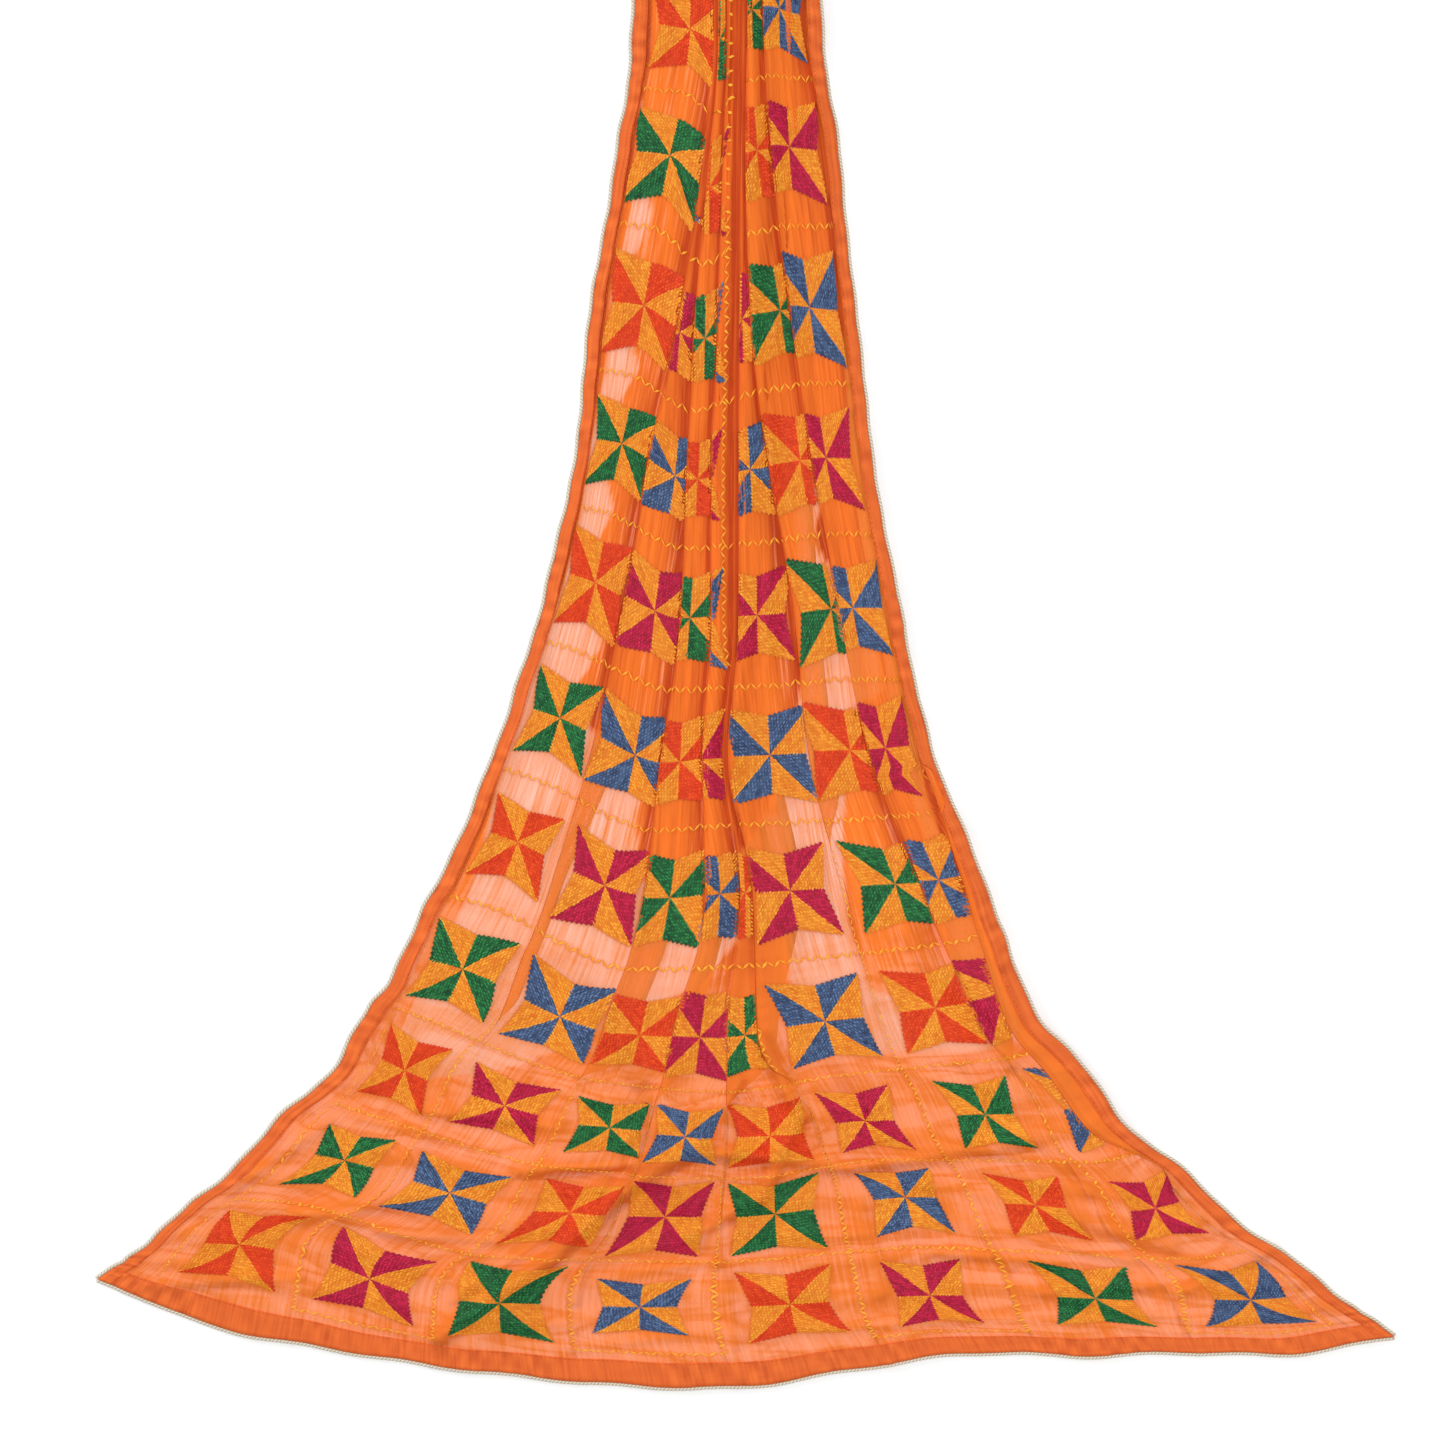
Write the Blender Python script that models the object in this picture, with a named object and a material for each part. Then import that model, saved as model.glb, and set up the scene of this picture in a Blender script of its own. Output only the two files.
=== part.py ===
"""Phulkari shawl: a sheer embroidered rectangle of cloth, gathered into knife
pleats along most of its length and spread into a fan at the shown end.
It lies flat on the floor. Units are metres, +Y runs along the cloth, +Z is up."""

import bpy
import bmesh
import numpy as np

for old in list(bpy.data.objects):
    bpy.data.objects.remove(old, do_unlink=True)

# The flat cut of the cloth and the size of its embroidered grid.
WIDTH = 0.900
LENGTH = 2.360
CELL = 0.104
SIDE_MARGIN = 0.034
END_MARGIN = 0.036
SIDE_HEM = 0.010
END_HEM = 0.025
# Half the width of an embroidered square, which stays flat in the pleats.
STIFF = 0.0355

# Thicknesses: one layer of cloth as a wall, and each further hidden layer.
WALL = 0.0012
LAYER = 0.0008
HEM_EXTRA = 0.0006
PIPING = 0.0022
SEAM_GAP = 0.0005
END_GAP = 0.0008

# The layout is read by eye from the photo, in units of 1/1467 m: x to the
# right and y down, as seen from above. ORIGIN is where x = y = 0 goes.
UNIT = 1.0 / 1467.0
ORIGIN_X = 746.0
ORIGIN_Y = 1387.0

# Across the cloth: the left edge, the middle of each of the eight columns of
# motifs and the right edge. One row per row of motifs, from the shown end.
# A value may lie under the next pleat, where that column is hidden.
ANCHOR_U = [0.0] + [SIDE_MARGIN + CELL * (i + 0.5) for i in range(8)] + [WIDTH]
ANCHOR_X = [
    # left   1    2    3    4    5    6     7     8    right
    (98, 215, 360, 505, 655, 815, 960, 1120, 1275, 1394),
    (150, 240, 370, 500, 640, 790, 930, 1095, 1250, 1330),
    (258, 345, 450, 570, 665, 775, 905, 1035, 1155, 1208),
    (350, 405, 505, 610, 685, 770, 865, 985, 1096, 1105),
    (404, 460, 560, 640, 700, 745, 825, 935, 1006, 1021),
    (466, 512, 605, 670, 720, 745, 790, 895, 938, 978),
    (513, 552, 635, 680, 700, 735, 770, 850, 892, 929),
    (552, 587, 655, 690, 683, 738, 757, 831, 855, 899),
    (579, 615, 675, 698, 683, 738, 750, 800, 828, 872),
    (594, 641, 680, 705, 684, 740, 742, 780, 815, 854),
    (619, 668, 704, 710, 686, 741, 740, 757, 792, 837),
    (634, 690, 717, 720, 690, 744, 744, 752, 787, 820),
]

# The fold edge that shows between each two neighbouring strips: every strip
# lies on the one to its left. Where there is no fold yet it is their middle.
FOLD_X = [
    # hem|1 1|2  2|3  3|4  4|5  5|6  6|7   7|8   8|hem
    (124, 288, 432, 580, 735, 888, 1040, 1198, 1366),
    (174, 305, 435, 570, 715, 860, 1012, 1172, 1306),
    (280, 398, 510, 618, 722, 840, 970, 1095, 1186),
    (368, 455, 557, 648, 728, 818, 925, 1040, 1070),
    (421, 510, 602, 672, 727, 757, 880, 968, 996),
    (482, 558, 643, 705, 740, 752, 842, 919, 960),
    (528, 595, 660, 702, 723, 727, 808, 867, 912),
    (567, 624, 680, 711, 734, 738, 793, 838, 882),
    (593, 648, 686, 711, 734, 738, 768, 811, 856),
    (608, 676, 693, 717, 735, 739, 750, 789, 838),
    (633, 700, 706, 722, 737, 741, 745, 770, 820),
    (650, 714, 718, 727, 739, 743, 747, 762, 803),
]
# Hidden cloth behind each fold edge goes back and forth this many times.
ZIGZAGS = (1, 1, 1, 2, 1, 2, 1, 1, 2)

# Along the cloth: y where a row of motifs meets the left edge, columns 1 and
# 3, the middle line, columns 6 and 8 and the right edge.
ROW_Y = [
    # left   1     3    mid    6     8   right
    (1280, 1324, 1368, 1386, 1353, 1353, 1334),
    (1242, 1244, 1300, 1307, 1295, 1300, 1291),
    (1143, 1160, 1210, 1217, 1197, 1210, 1195),
    (1045, 1070, 1122, 1138, 1120, 1110, 1100),
    (952, 968, 1033, 1037, 1022, 1000, 983),
    (826, 840, 898, 893, 890, 880, 868),
    (703, 715, 762, 758, 755, 748, 745),
    (572, 580, 618, 617, 615, 608, 610),
    (438, 442, 480, 475, 470, 458, 460),
    (298, 305, 340, 328, 320, 308, 308),
    (150, 155, 188, 172, 158, 148, 148),
    (26, 30, 40, 25, 15, 12, 14),
]
# How wide the embroidered squares lie, next to their flat width, row by row,
# and how far the cloth between them has gone into pleats.
SPREAD = (1.0, 0.90, 0.88, 0.80, 0.88, 0.82, 0.79, 0.74, 0.73, 0.77, 0.77, 0.75)
PLEATED = (0.0, 0.0, 0.0, 0.0, 1.0, 1.0, 1.0, 1.0, 1.0, 1.0, 1.0, 1.0)
# How far the right edge is turned in over the last column of squares.
TURNED_IN = (0.0, 0.0, 0.0, 1.0, 1.0, 1.0, 0.0, 0.0, 0.0, 0.0, 0.0, 0.0)
# Gaps narrower than this share of their flat width fold under, fold by fold.
FOLD_AT = (-9.0, 0.30, 0.30, 0.30, 0.30, 0.30, 0.30, 0.30, 0.0)

# Beyond the photo's top edge the gathered column goes on plainly:
# distance from the shown end, and how much wider than the last row above.
FAR_PARTS = ((1.40, 1.02), (1.90, 1.18), (LENGTH, 1.60))
FAR_KEEP = 0.985
FAR_MIDDLE = 728.0

ROW_T = [0.0] + [END_MARGIN + CELL * (i + 0.5) for i in range(11)]


def build_sections():
    """All sections as arrays: t, anchors, folds, spread and row heights."""
    t_list = list(ROW_T)
    anchors = [list(row) for row in ANCHOR_X]
    folds = [list(row) for row in FOLD_X]
    heights = [list(row) for row in ROW_Y]
    spread = [list(values) for values in zip(SPREAD, PLEATED, TURNED_IN)]
    level = sum(ROW_Y[-1]) / len(ROW_Y[-1])
    for t, wider in FAR_PARTS:
        t_list.append(t)
        anchors.append([FAR_MIDDLE + (x - FAR_MIDDLE) * wider for x in ANCHOR_X[-1]])
        folds.append([FAR_MIDDLE + (x - FAR_MIDDLE) * wider for x in FOLD_X[-1]])
        further = (t - ROW_T[-1]) * FAR_KEEP / UNIT
        level_part = min(1.0, (t - ROW_T[-1]) / 0.7)
        heights.append([y + (level - y) * level_part - further for y in ROW_Y[-1]])
        spread.append([0.75, 1.0, 0.0])
    return (
        np.array(t_list),
        (np.array(anchors, dtype=float) - ORIGIN_X) * UNIT,
        (np.array(folds, dtype=float) - ORIGIN_X) * UNIT,
        np.array(spread),
        (ORIGIN_Y - np.array(heights, dtype=float)) * UNIT,
    )


SECTION_T, SECTION_X, SECTION_FOLD, SECTION_SPREAD, SECTION_Y = build_sections()


def slopes(x, y):
    """Slopes for a smooth curve through points that never overshoots them."""
    step = np.diff(y, axis=0) / np.diff(x).reshape((-1,) + (1,) * (y.ndim - 1))
    slope = np.zeros_like(y)
    slope[0] = step[0]
    slope[-1] = step[-1]
    before = step[:-1]
    after = step[1:]
    same = before * after > 0
    total = np.where(same, before + after, 1.0)
    slope[1:-1] = np.where(same, 2.0 * before * after / total, 0.0)
    return slope


def smooth_at(x, y, slope, at):
    """The value at one place on the smooth curve through (x, y)."""
    i = int(np.clip(np.searchsorted(x, at) - 1, 0, len(x) - 2))
    width = x[i + 1] - x[i]
    s = (at - x[i]) / width
    a = (1 + 2 * s) * (1 - s) ** 2
    b = s * (1 - s) ** 2 * width
    c = s * s * (3 - 2 * s)
    d = s * s * (s - 1) * width
    return a * y[i] + b * slope[i] + c * y[i + 1] + d * slope[i + 1]


SLOPE_X = slopes(SECTION_T, SECTION_X)
SLOPE_FOLD = slopes(SECTION_T, SECTION_FOLD)
SLOPE_SPREAD = slopes(SECTION_T, SECTION_SPREAD)
SLOPE_Y = slopes(SECTION_T, SECTION_Y)


class Section:
    """The cloth's path across at one distance t from the shown end."""

    def __init__(self, t):
        anchors = smooth_at(SECTION_T, SECTION_X, SLOPE_X, t)
        folds = smooth_at(SECTION_T, SECTION_FOLD, SLOPE_FOLD, t)
        spread, pleated, turned_in = smooth_at(SECTION_T, SECTION_SPREAD, SLOPE_SPREAD, t)
        self.left = anchors[0]
        self.right = anchors[-1]
        # y follows x, so every hidden layer of a row lies on the same line.
        middle = 0.5 * (folds[3] + folds[5])
        self.row_x = np.array(
            [anchors[0], anchors[1], folds[2] + 0.2 * (folds[3] - folds[2]), middle,
             folds[5] + 0.5 * (folds[6] - folds[5]), folds[7] + 0.4 * (folds[8] - folds[7]),
             anchors[9]]
        )
        self.row_y = smooth_at(SECTION_T, SECTION_Y, SLOPE_Y, t)
        self.row_slope = slopes(self.row_x, self.row_y)
        # The stiff part round each anchor: its half width, and how wide its
        # two halves lie. At the cloth's two edges it is the hem.
        stiff = [SIDE_HEM] + [STIFF] * 8 + [SIDE_HEM]
        space = np.diff(anchors)
        room = 0.95 * np.minimum(space[:-1], space[1:]) / (2 * STIFF)
        own_side = 0.95 * space[-2] / (2 * STIFF)
        room[-1] = turned_in * own_side + (1 - turned_in) * room[-1]
        squares = pleated * spread + (1 - pleated) * np.minimum(spread, room)
        hem = min(1.0, 0.85 * (folds[0] - anchors[0]) / SIDE_HEM)
        to_left = np.concatenate([[hem], squares, [hem]])
        to_right = to_left.copy()
        free = anchors[1] - anchors[0] - SIDE_HEM * hem
        to_left[1] = min(to_left[1], 0.96 * free / STIFF)
        free = anchors[9] - anchors[8] - SIDE_HEM * hem
        squeezed = min(to_right[8], max(0.96 * free / STIFF, 0.3))
        to_right[8] = turned_in * to_right[8] + (1 - turned_in) * squeezed
        # Each segment is u and x at both ends. A strip that shows also has
        # knots (u, x), so that its stiff parts keep their width.
        self.segments = []
        self.strips = []
        self.knots = []
        knots = [(0.0, self.left), (SIDE_HEM, self.left + SIDE_HEM * hem)]
        for i in range(9):
            x_a = anchors[i]
            x_b = anchors[i + 1]
            end_a = x_a + stiff[i] * to_right[i]
            end_b = x_b - stiff[i + 1] * to_left[i + 1]
            gap = ANCHOR_U[i + 1] - ANCHOR_U[i] - stiff[i] - stiff[i + 1]
            folded = np.clip((FOLD_AT[i] - (end_b - end_a) / gap) / 0.25, 0.0, 1.0)
            folded = turned_in if i == 8 else pleated * folded
            folded = folded * folded * (3 - 2 * folded)
            fold = folds[i]
            if folded < 1.0:
                # Where nothing folds under, the strips meet inside the gap.
                between = min(max(fold, end_a + 0.0002), end_b - 0.0002)
                if end_b - end_a < 0.0006:
                    between = 0.5 * (end_a + end_b)
                fold = folded * fold + (1 - folded) * between
            before = ANCHOR_U[i] + (fold - x_a) / to_right[i]
            after = ANCHOR_U[i + 1] - (x_b - fold) / to_left[i + 1]
            # What isn't folded under stretches over the gap's two sides.
            kept = (1 - folded) * (after - before)
            side_a = max(fold - end_a, 0.0)
            side_b = max(end_b - fold, 0.0)
            part = side_a / (side_a + side_b) if side_a + side_b > 0 else 0.5
            before += kept * part
            after -= kept * (1 - part)
            hidden = max(after - before, 0.0) if folded > 0 else 0.0
            if hidden < 0.003:
                centre = 0.5 * (before + after)
                before = centre - 0.5 * hidden
                after = centre + 0.5 * hidden
            self.add_strip(knots + [(before, fold)])
            self.add_hidden(before, hidden, fold, ZIGZAGS[i])
            knots = [
                (after, fold),
                (ANCHOR_U[i + 1] - stiff[i + 1], end_b),
                (ANCHOR_U[i + 1] + stiff[i + 1], x_b + stiff[i + 1] * to_right[i + 1]),
            ]
        self.add_strip(knots[:2] + [(WIDTH, self.right)])

    def add_strip(self, knots):
        """A strip that shows, from its first knot to its last."""
        first = knots[0]
        last = knots[-1]
        self.strips.append(len(self.segments))
        self.segments.append((first[0], last[0], first[1], last[1]))
        self.knots.append(sorted(k for k in knots if first[1] <= k[1] <= last[1]))

    def add_hidden(self, u, hidden, fold, times):
        """The cloth hidden behind a fold edge, back and forth to its right."""
        depth = min(hidden / (2 * times), 0.985 * (self.right - fold))
        u_step = hidden / (2 * times)
        for k in range(times):
            inner = 0.0 if k == 0 else 0.15 * depth
            outer = 0.0 if k == times - 1 else 0.15 * depth
            start = u + 2 * k * u_step
            turn = fold + depth * (1.0 - 0.12 * k)
            self.segments.append((start, start + u_step, fold + inner, turn))
            self.segments.append((start + u_step, start + 2 * u_step, turn, fold + outer))

    def place_of(self, number, u):
        """The x of a distance u from the left edge, in one strip that shows."""
        knots = np.array(self.knots[number])
        return float(np.interp(u, knots[:, 0], knots[:, 1]))

    def row_height(self, x):
        return smooth_at(self.row_x, self.row_y, self.row_slope, x)

    def layers_below(self, index, x):
        """How many earlier segments lie under segment index at x."""
        count = 0.0
        reach = 0.009
        for u_a, u_b, x_a, x_b in self.segments[:index]:
            low, high = min(x_a, x_b), max(x_a, x_b)
            length = high - low
            full = min(1.0, max(0.0, length - 0.001) / 0.012)
            past = max(low - x, x - high, 0.0)
            cover = max(0.0, 1.0 - past / reach)
            if past > 0 and x < low:
                # A strip never rests on cloth that starts to its right.
                cover = 0.0
            count += full * cover * cover * (3 - 2 * cover)
        return count


# Soft ridges in the fan, as arches over the floor: start and end in photo
# units, the height, and the width of each.
RIDGES = [
    # x0   y0    x1    y1   height  width
    (690, 1140, 545, 1262, 0.0085, 0.016),
    (545, 1262, 440, 1335, 0.0070, 0.016),
    (770, 1060, 800, 1115, 0.0070, 0.013),
    (800, 1115, 762, 1195, 0.0070, 0.013),
    (520, 1170, 690, 1155, 0.0060, 0.011),
    (700, 1150, 850, 1165, 0.0055, 0.011),
    (850, 1165, 1030, 1140, 0.0050, 0.012),
    (860, 1210, 880, 1290, 0.0045, 0.012),
    (1060, 1210, 1170, 1245, 0.0045, 0.013),
    (300, 1215, 420, 1195, 0.0040, 0.011),
    (560, 950, 640, 1080, 0.0045, 0.012),
    (905, 930, 1010, 1060, 0.0045, 0.012),
]


def ridge_height(x, y):
    """Height of the arches over the floor at a place, never below zero."""
    best = 0.0
    for x0, y0, x1, y1, height, width in RIDGES:
        ax = (x0 - ORIGIN_X) * UNIT
        ay = (ORIGIN_Y - y0) * UNIT
        dx = (x1 - x0) * UNIT
        dy = -(y1 - y0) * UNIT
        share = ((x - ax) * dx + (y - ay) * dy) / (dx * dx + dy * dy)
        share = min(1.0, max(0.0, share))
        away = np.hypot(x - ax - share * dx, y - ay - share * dy)
        one = height * np.exp(-((away / width) ** 2))
        best = (best ** 3 + one ** 3) ** (1.0 / 3.0)
    return max(0.0, best - 0.0008)


def surface(section, index, x):
    """World place on top of visible strip index at x, and its arch height."""
    y = section.row_height(x)
    arch = ridge_height(x, y)
    top = WALL + LAYER * section.layers_below(index, x) + arch
    return x, y, top, arch


POINTS_PER_STRIP = 5
STEP = 0.0006


def across(section, u_low, u_high):
    """Places across the cloth between two distances u from the left edge."""
    line = []
    for number, index in enumerate(section.strips):
        u_a, u_b, x_a, x_b = section.segments[index]
        count = POINTS_PER_STRIP
        if number in (0, len(section.strips) - 1):
            count = 2
        start = x_a + (STEP if number > 0 else 0.0)
        end = x_b - (STEP if number < len(section.strips) - 1 else 0.0)
        if number == 0:
            start = section.place_of(0, u_low) + (SEAM_GAP if u_low > 0 else 0.0)
            end = max(end, start + 0.0002)
        if number == len(section.strips) - 1:
            end = section.place_of(number, u_high) - (SEAM_GAP if u_high < WIDTH else 0.0)
            start = min(start, end - 0.0002)
        for k in range(count):
            x = start + (end - start) * k / (count - 1)
            line.append(surface(section, index, x))
    return line


def finish_body(name, mesh, paint):
    """Turn a closed bmesh into a named, smooth-shaded object with a material."""
    bmesh.ops.recalc_face_normals(mesh, faces=mesh.faces)
    if mesh.calc_volume(signed=True) < 0:
        bmesh.ops.reverse_faces(mesh, faces=mesh.faces)
    data = bpy.data.meshes.new(name)
    mesh.to_mesh(data)
    mesh.free()
    data.shade_smooth()
    data.set_sharp_from_angle(angle=np.radians(50.0))
    data.materials.append(paint)
    body = bpy.data.objects.new(name, data)
    bpy.context.scene.collection.objects.link(body)
    return body


def cloth_material(name, colour, roughness):
    """A plain fabric: only its colour and roughness differ."""
    paint = bpy.data.materials.new(name)
    paint.use_nodes = True
    shader = paint.node_tree.nodes["Principled BSDF"]
    shader.inputs["Base Color"].default_value = (*colour, 1.0)
    shader.inputs["Roughness"].default_value = roughness
    shader.inputs["Metallic"].default_value = 0.0
    return paint


CHIFFON = cloth_material("chiffon", (0.83, 0.13, 0.016), 0.85)
HEM_CLOTH = cloth_material("hem_cloth", (0.78, 0.10, 0.010), 0.85)
IVORY_CORD = cloth_material("ivory_cord", (0.60, 0.53, 0.42), 0.80)


def solid_from_lines(name, tops, bottoms, paint):
    """A closed body between two grids of points of the same size."""
    rows = len(tops)
    columns = len(tops[0])
    mesh = bmesh.new()
    upper = [[mesh.verts.new(p) for p in row] for row in tops]
    lower = [[mesh.verts.new(p) for p in row] for row in bottoms]
    for i in range(rows - 1):
        for j in range(columns - 1):
            a, b = upper[i][j], upper[i][j + 1]
            c, d = upper[i + 1][j + 1], upper[i + 1][j]
            mesh.faces.new((a, b, c))
            mesh.faces.new((a, c, d))
            a, b = lower[i][j], lower[i][j + 1]
            c, d = lower[i + 1][j + 1], lower[i + 1][j]
            mesh.faces.new((c, b, a))
            mesh.faces.new((d, c, a))
    rim = [(0, j) for j in range(columns)]
    rim += [(i, columns - 1) for i in range(1, rows)]
    rim += [(rows - 1, j) for j in range(columns - 2, -1, -1)]
    rim += [(i, 0) for i in range(rows - 2, 0, -1)]
    for k in range(len(rim)):
        i0, j0 = rim[k]
        i1, j1 = rim[(k + 1) % len(rim)]
        mesh.faces.new((upper[i0][j0], lower[i0][j0], lower[i1][j1]))
        mesh.faces.new((upper[i0][j0], lower[i1][j1], upper[i1][j1]))
    return finish_body(name, mesh, paint)


def lines_between(t_values, u_low, u_high, extra, picker):
    """Top and bottom points of a piece for every section it crosses."""
    tops = []
    bottoms = []
    for t in t_values:
        section = Section(t)
        line = picker(section, u_low, u_high)
        tops.append([(x, y, z + extra) for x, y, z, arch in line])
        bottoms.append([(x, y, arch) for x, y, z, arch in line])
    return tops, bottoms


def left_strip(section, u_low, u_high):
    """Places across the left hem, which lies in the first strip."""
    line = []
    for k in range(3):
        u = u_low + (u_high - u_low) * k / 2
        line.append(surface(section, 0, section.place_of(0, u)))
    return line


def right_strip(section, u_low, u_high):
    """Places across the right hem, which lies in the last strip."""
    last_strip = len(section.strips) - 1
    line = []
    for k in range(3):
        u = u_low + (u_high - u_low) * k / 2
        x = section.place_of(last_strip, u)
        line.append(surface(section, section.strips[-1], x))
    return line


SHOWN_END = 1.20
near_t = list(np.linspace(END_HEM + END_GAP, 0.30, 11))
middle_t = list(np.linspace(0.30, SHOWN_END, 31))[1:]
far_t = list(np.linspace(SHOWN_END, LENGTH - END_HEM - END_GAP, 15))[1:]
panel_t = near_t + middle_t + far_t

first = Section(0.0)
last = Section(LENGTH)

tops, bottoms = lines_between(
    panel_t, SIDE_HEM, WIDTH - SIDE_HEM, 0.0, across)
solid_from_lines("panel", tops, bottoms, CHIFFON)

tops, bottoms = lines_between(panel_t, 0.0, SIDE_HEM, HEM_EXTRA, left_strip)
solid_from_lines("hem_left", tops, bottoms, HEM_CLOTH)
tops, bottoms = lines_between(panel_t, WIDTH - SIDE_HEM, WIDTH, HEM_EXTRA, right_strip)
solid_from_lines("hem_right", tops, bottoms, HEM_CLOTH)

shown_t = (0.0, 0.5 * END_HEM, END_HEM)
tops, bottoms = lines_between(shown_t, 0.0, WIDTH, HEM_EXTRA, across)
solid_from_lines("hem_shown_end", tops, bottoms, HEM_CLOTH)
end_t = (LENGTH - END_HEM, LENGTH - 0.5 * END_HEM, LENGTH)
tops, bottoms = lines_between(end_t, 0.0, WIDTH, HEM_EXTRA, across)
solid_from_lines("hem_far_end", tops, bottoms, HEM_CLOTH)


def cord(name, path, radius, sides=6):
    """A round cord with closed ends along a path, lying on one of its flats."""
    path = np.array(path)
    mesh = bmesh.new()
    rings = []
    for i, point in enumerate(path):
        ahead = path[min(i + 1, len(path) - 1)] - path[max(i - 1, 0)]
        ahead[2] = 0.0
        ahead /= np.linalg.norm(ahead)
        aside = np.array([-ahead[1], ahead[0], 0.0])
        ring = []
        for k in range(sides):
            angle = 2 * np.pi * k / sides
            place = point + aside * radius * np.cos(angle)
            place = place + np.array([0.0, 0.0, radius * np.sin(angle)])
            ring.append(mesh.verts.new(place))
        rings.append(ring)
    for a, b in zip(rings[:-1], rings[1:]):
        for k in range(sides):
            m = (k + 1) % sides
            mesh.faces.new((a[k], a[m], b[m]))
            mesh.faces.new((a[k], b[m], b[k]))
    for ring in (rings[0], rings[-1]):
        for k in range(1, sides - 1):
            mesh.faces.new((ring[0], ring[k], ring[k + 1]))
    return finish_body(name, mesh, IVORY_CORD)


# The cord lies just outside the hems, one length to each side.
CORD_OUT = 0.5 * PIPING + 0.0004
CORD_LIFT = 0.5 * PIPING * np.sin(np.pi / 3)


def edge_path(points, out):
    """A path moved sideways in the floor's plane, with the cord's lift."""
    points = np.array(points)
    moved = []
    for i in range(len(points)):
        ahead = points[min(i + 1, len(points) - 1)] - points[max(i - 1, 0)]
        ahead[2] = 0.0
        ahead /= np.linalg.norm(ahead)
        aside = np.array([-ahead[1], ahead[0], 0.0])
        moved.append(points[i] + aside * out + np.array([0.0, 0.0, CORD_LIFT]))
    return moved


side_t = [0.0] + panel_t[::1] + [LENGTH]
left_points = []
right_points = []
for t in side_t:
    section = Section(t)
    x, y, z, arch = surface(section, 0, section.left)
    left_points.append((x, y, arch))
    x, y, z, arch = surface(section, section.strips[-1], section.right)
    right_points.append((x, y, arch))
cord("piping_left", edge_path(left_points, CORD_OUT), 0.5 * PIPING)
cord("piping_right", edge_path(right_points, -CORD_OUT), 0.5 * PIPING)


def end_points(section):
    points = []
    for k in range(37):
        x = section.left + (section.right - section.left) * k / 36
        y = section.row_height(x)
        points.append((x, y, ridge_height(x, y)))
    return points


cord("piping_shown_end", edge_path(end_points(first), -CORD_OUT), 0.5 * PIPING)
cord("piping_far_end", edge_path(end_points(last), CORD_OUT), 0.5 * PIPING)

# The part's own origin is under the middle of its outline, on the floor.
bodies = [item for item in bpy.data.objects if item.type == "MESH"]
points = np.concatenate(
    [[list(vertex.co) for vertex in body.data.vertices] for body in bodies])
low = points.min(axis=0)
high = points.max(axis=0)
for body in bodies:
    body.location = (-0.5 * (low[0] + high[0]), -0.5 * (low[1] + high[1]), -low[2])
bpy.context.view_layer.update()
print("moved by", [round(float(v), 5) for v in body.location])
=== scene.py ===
"""Phulkari shawl, laid flat: sheer crinkled chiffon with thread embroidery,
pleated along its length and spread to a fan at the shown end."""

import bpy
import numpy as np
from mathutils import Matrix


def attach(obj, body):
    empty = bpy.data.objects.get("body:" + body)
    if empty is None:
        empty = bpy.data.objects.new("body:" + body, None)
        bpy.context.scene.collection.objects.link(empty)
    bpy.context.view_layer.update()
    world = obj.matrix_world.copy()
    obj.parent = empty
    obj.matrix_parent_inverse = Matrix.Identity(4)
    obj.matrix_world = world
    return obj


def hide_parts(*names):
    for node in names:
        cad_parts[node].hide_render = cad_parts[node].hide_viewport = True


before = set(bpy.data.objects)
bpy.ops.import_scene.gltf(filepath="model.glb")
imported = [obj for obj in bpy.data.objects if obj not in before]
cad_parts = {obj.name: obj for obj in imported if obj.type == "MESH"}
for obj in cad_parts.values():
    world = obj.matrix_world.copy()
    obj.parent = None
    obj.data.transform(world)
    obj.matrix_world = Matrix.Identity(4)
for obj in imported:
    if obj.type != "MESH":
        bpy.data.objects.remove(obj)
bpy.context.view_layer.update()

# The panel: one rectangle of crinkled chiffon. It is pressed into knife pleats
# that all lie right over left, and its shown end is pulled out to a fan.
# These are its flat cut and the grid that its embroidery follows.
WIDTH = 0.900
LENGTH = 2.360
CELL = 0.104
ROWS = 22
COLUMNS = 8
SIDE_MARGIN = 0.034
END_MARGIN = 0.036
SIDE_HEM = 0.010
END_HEM = 0.025
STIFF = 0.0355
LAYER = 0.0008
LAYER_ENDS = 0.009
REST = 0.0009

# The lay of the pleats, in units of 1/1467 m: x to the right and y down as
# seen from above, the same as the part's own source has it.
UNIT = 1.0 / 1467.0
ORIGIN_X = 746.0
ORIGIN_Y = 1387.0
MOVED = np.array([0.00004, -1.07202])

ANCHOR_U = [0.0] + [SIDE_MARGIN + CELL * (i + 0.5) for i in range(COLUMNS)] + [WIDTH]
ANCHOR_X = [
    # left   1    2    3    4    5    6     7     8    right
    (98, 215, 360, 505, 655, 815, 960, 1120, 1275, 1394),
    (150, 240, 370, 500, 640, 790, 930, 1095, 1250, 1330),
    (258, 345, 450, 570, 665, 775, 905, 1035, 1155, 1208),
    (350, 405, 505, 610, 685, 770, 865, 985, 1096, 1105),
    (404, 460, 560, 640, 700, 745, 825, 935, 1006, 1021),
    (466, 512, 605, 670, 720, 745, 790, 895, 938, 978),
    (513, 552, 635, 680, 700, 735, 770, 850, 892, 929),
    (552, 587, 655, 690, 683, 738, 757, 831, 855, 899),
    (579, 615, 675, 698, 683, 738, 750, 800, 828, 872),
    (594, 641, 680, 705, 684, 740, 742, 780, 815, 854),
    (619, 668, 704, 710, 686, 741, 740, 757, 792, 837),
    (634, 690, 717, 720, 690, 744, 744, 752, 787, 820),
]
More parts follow.
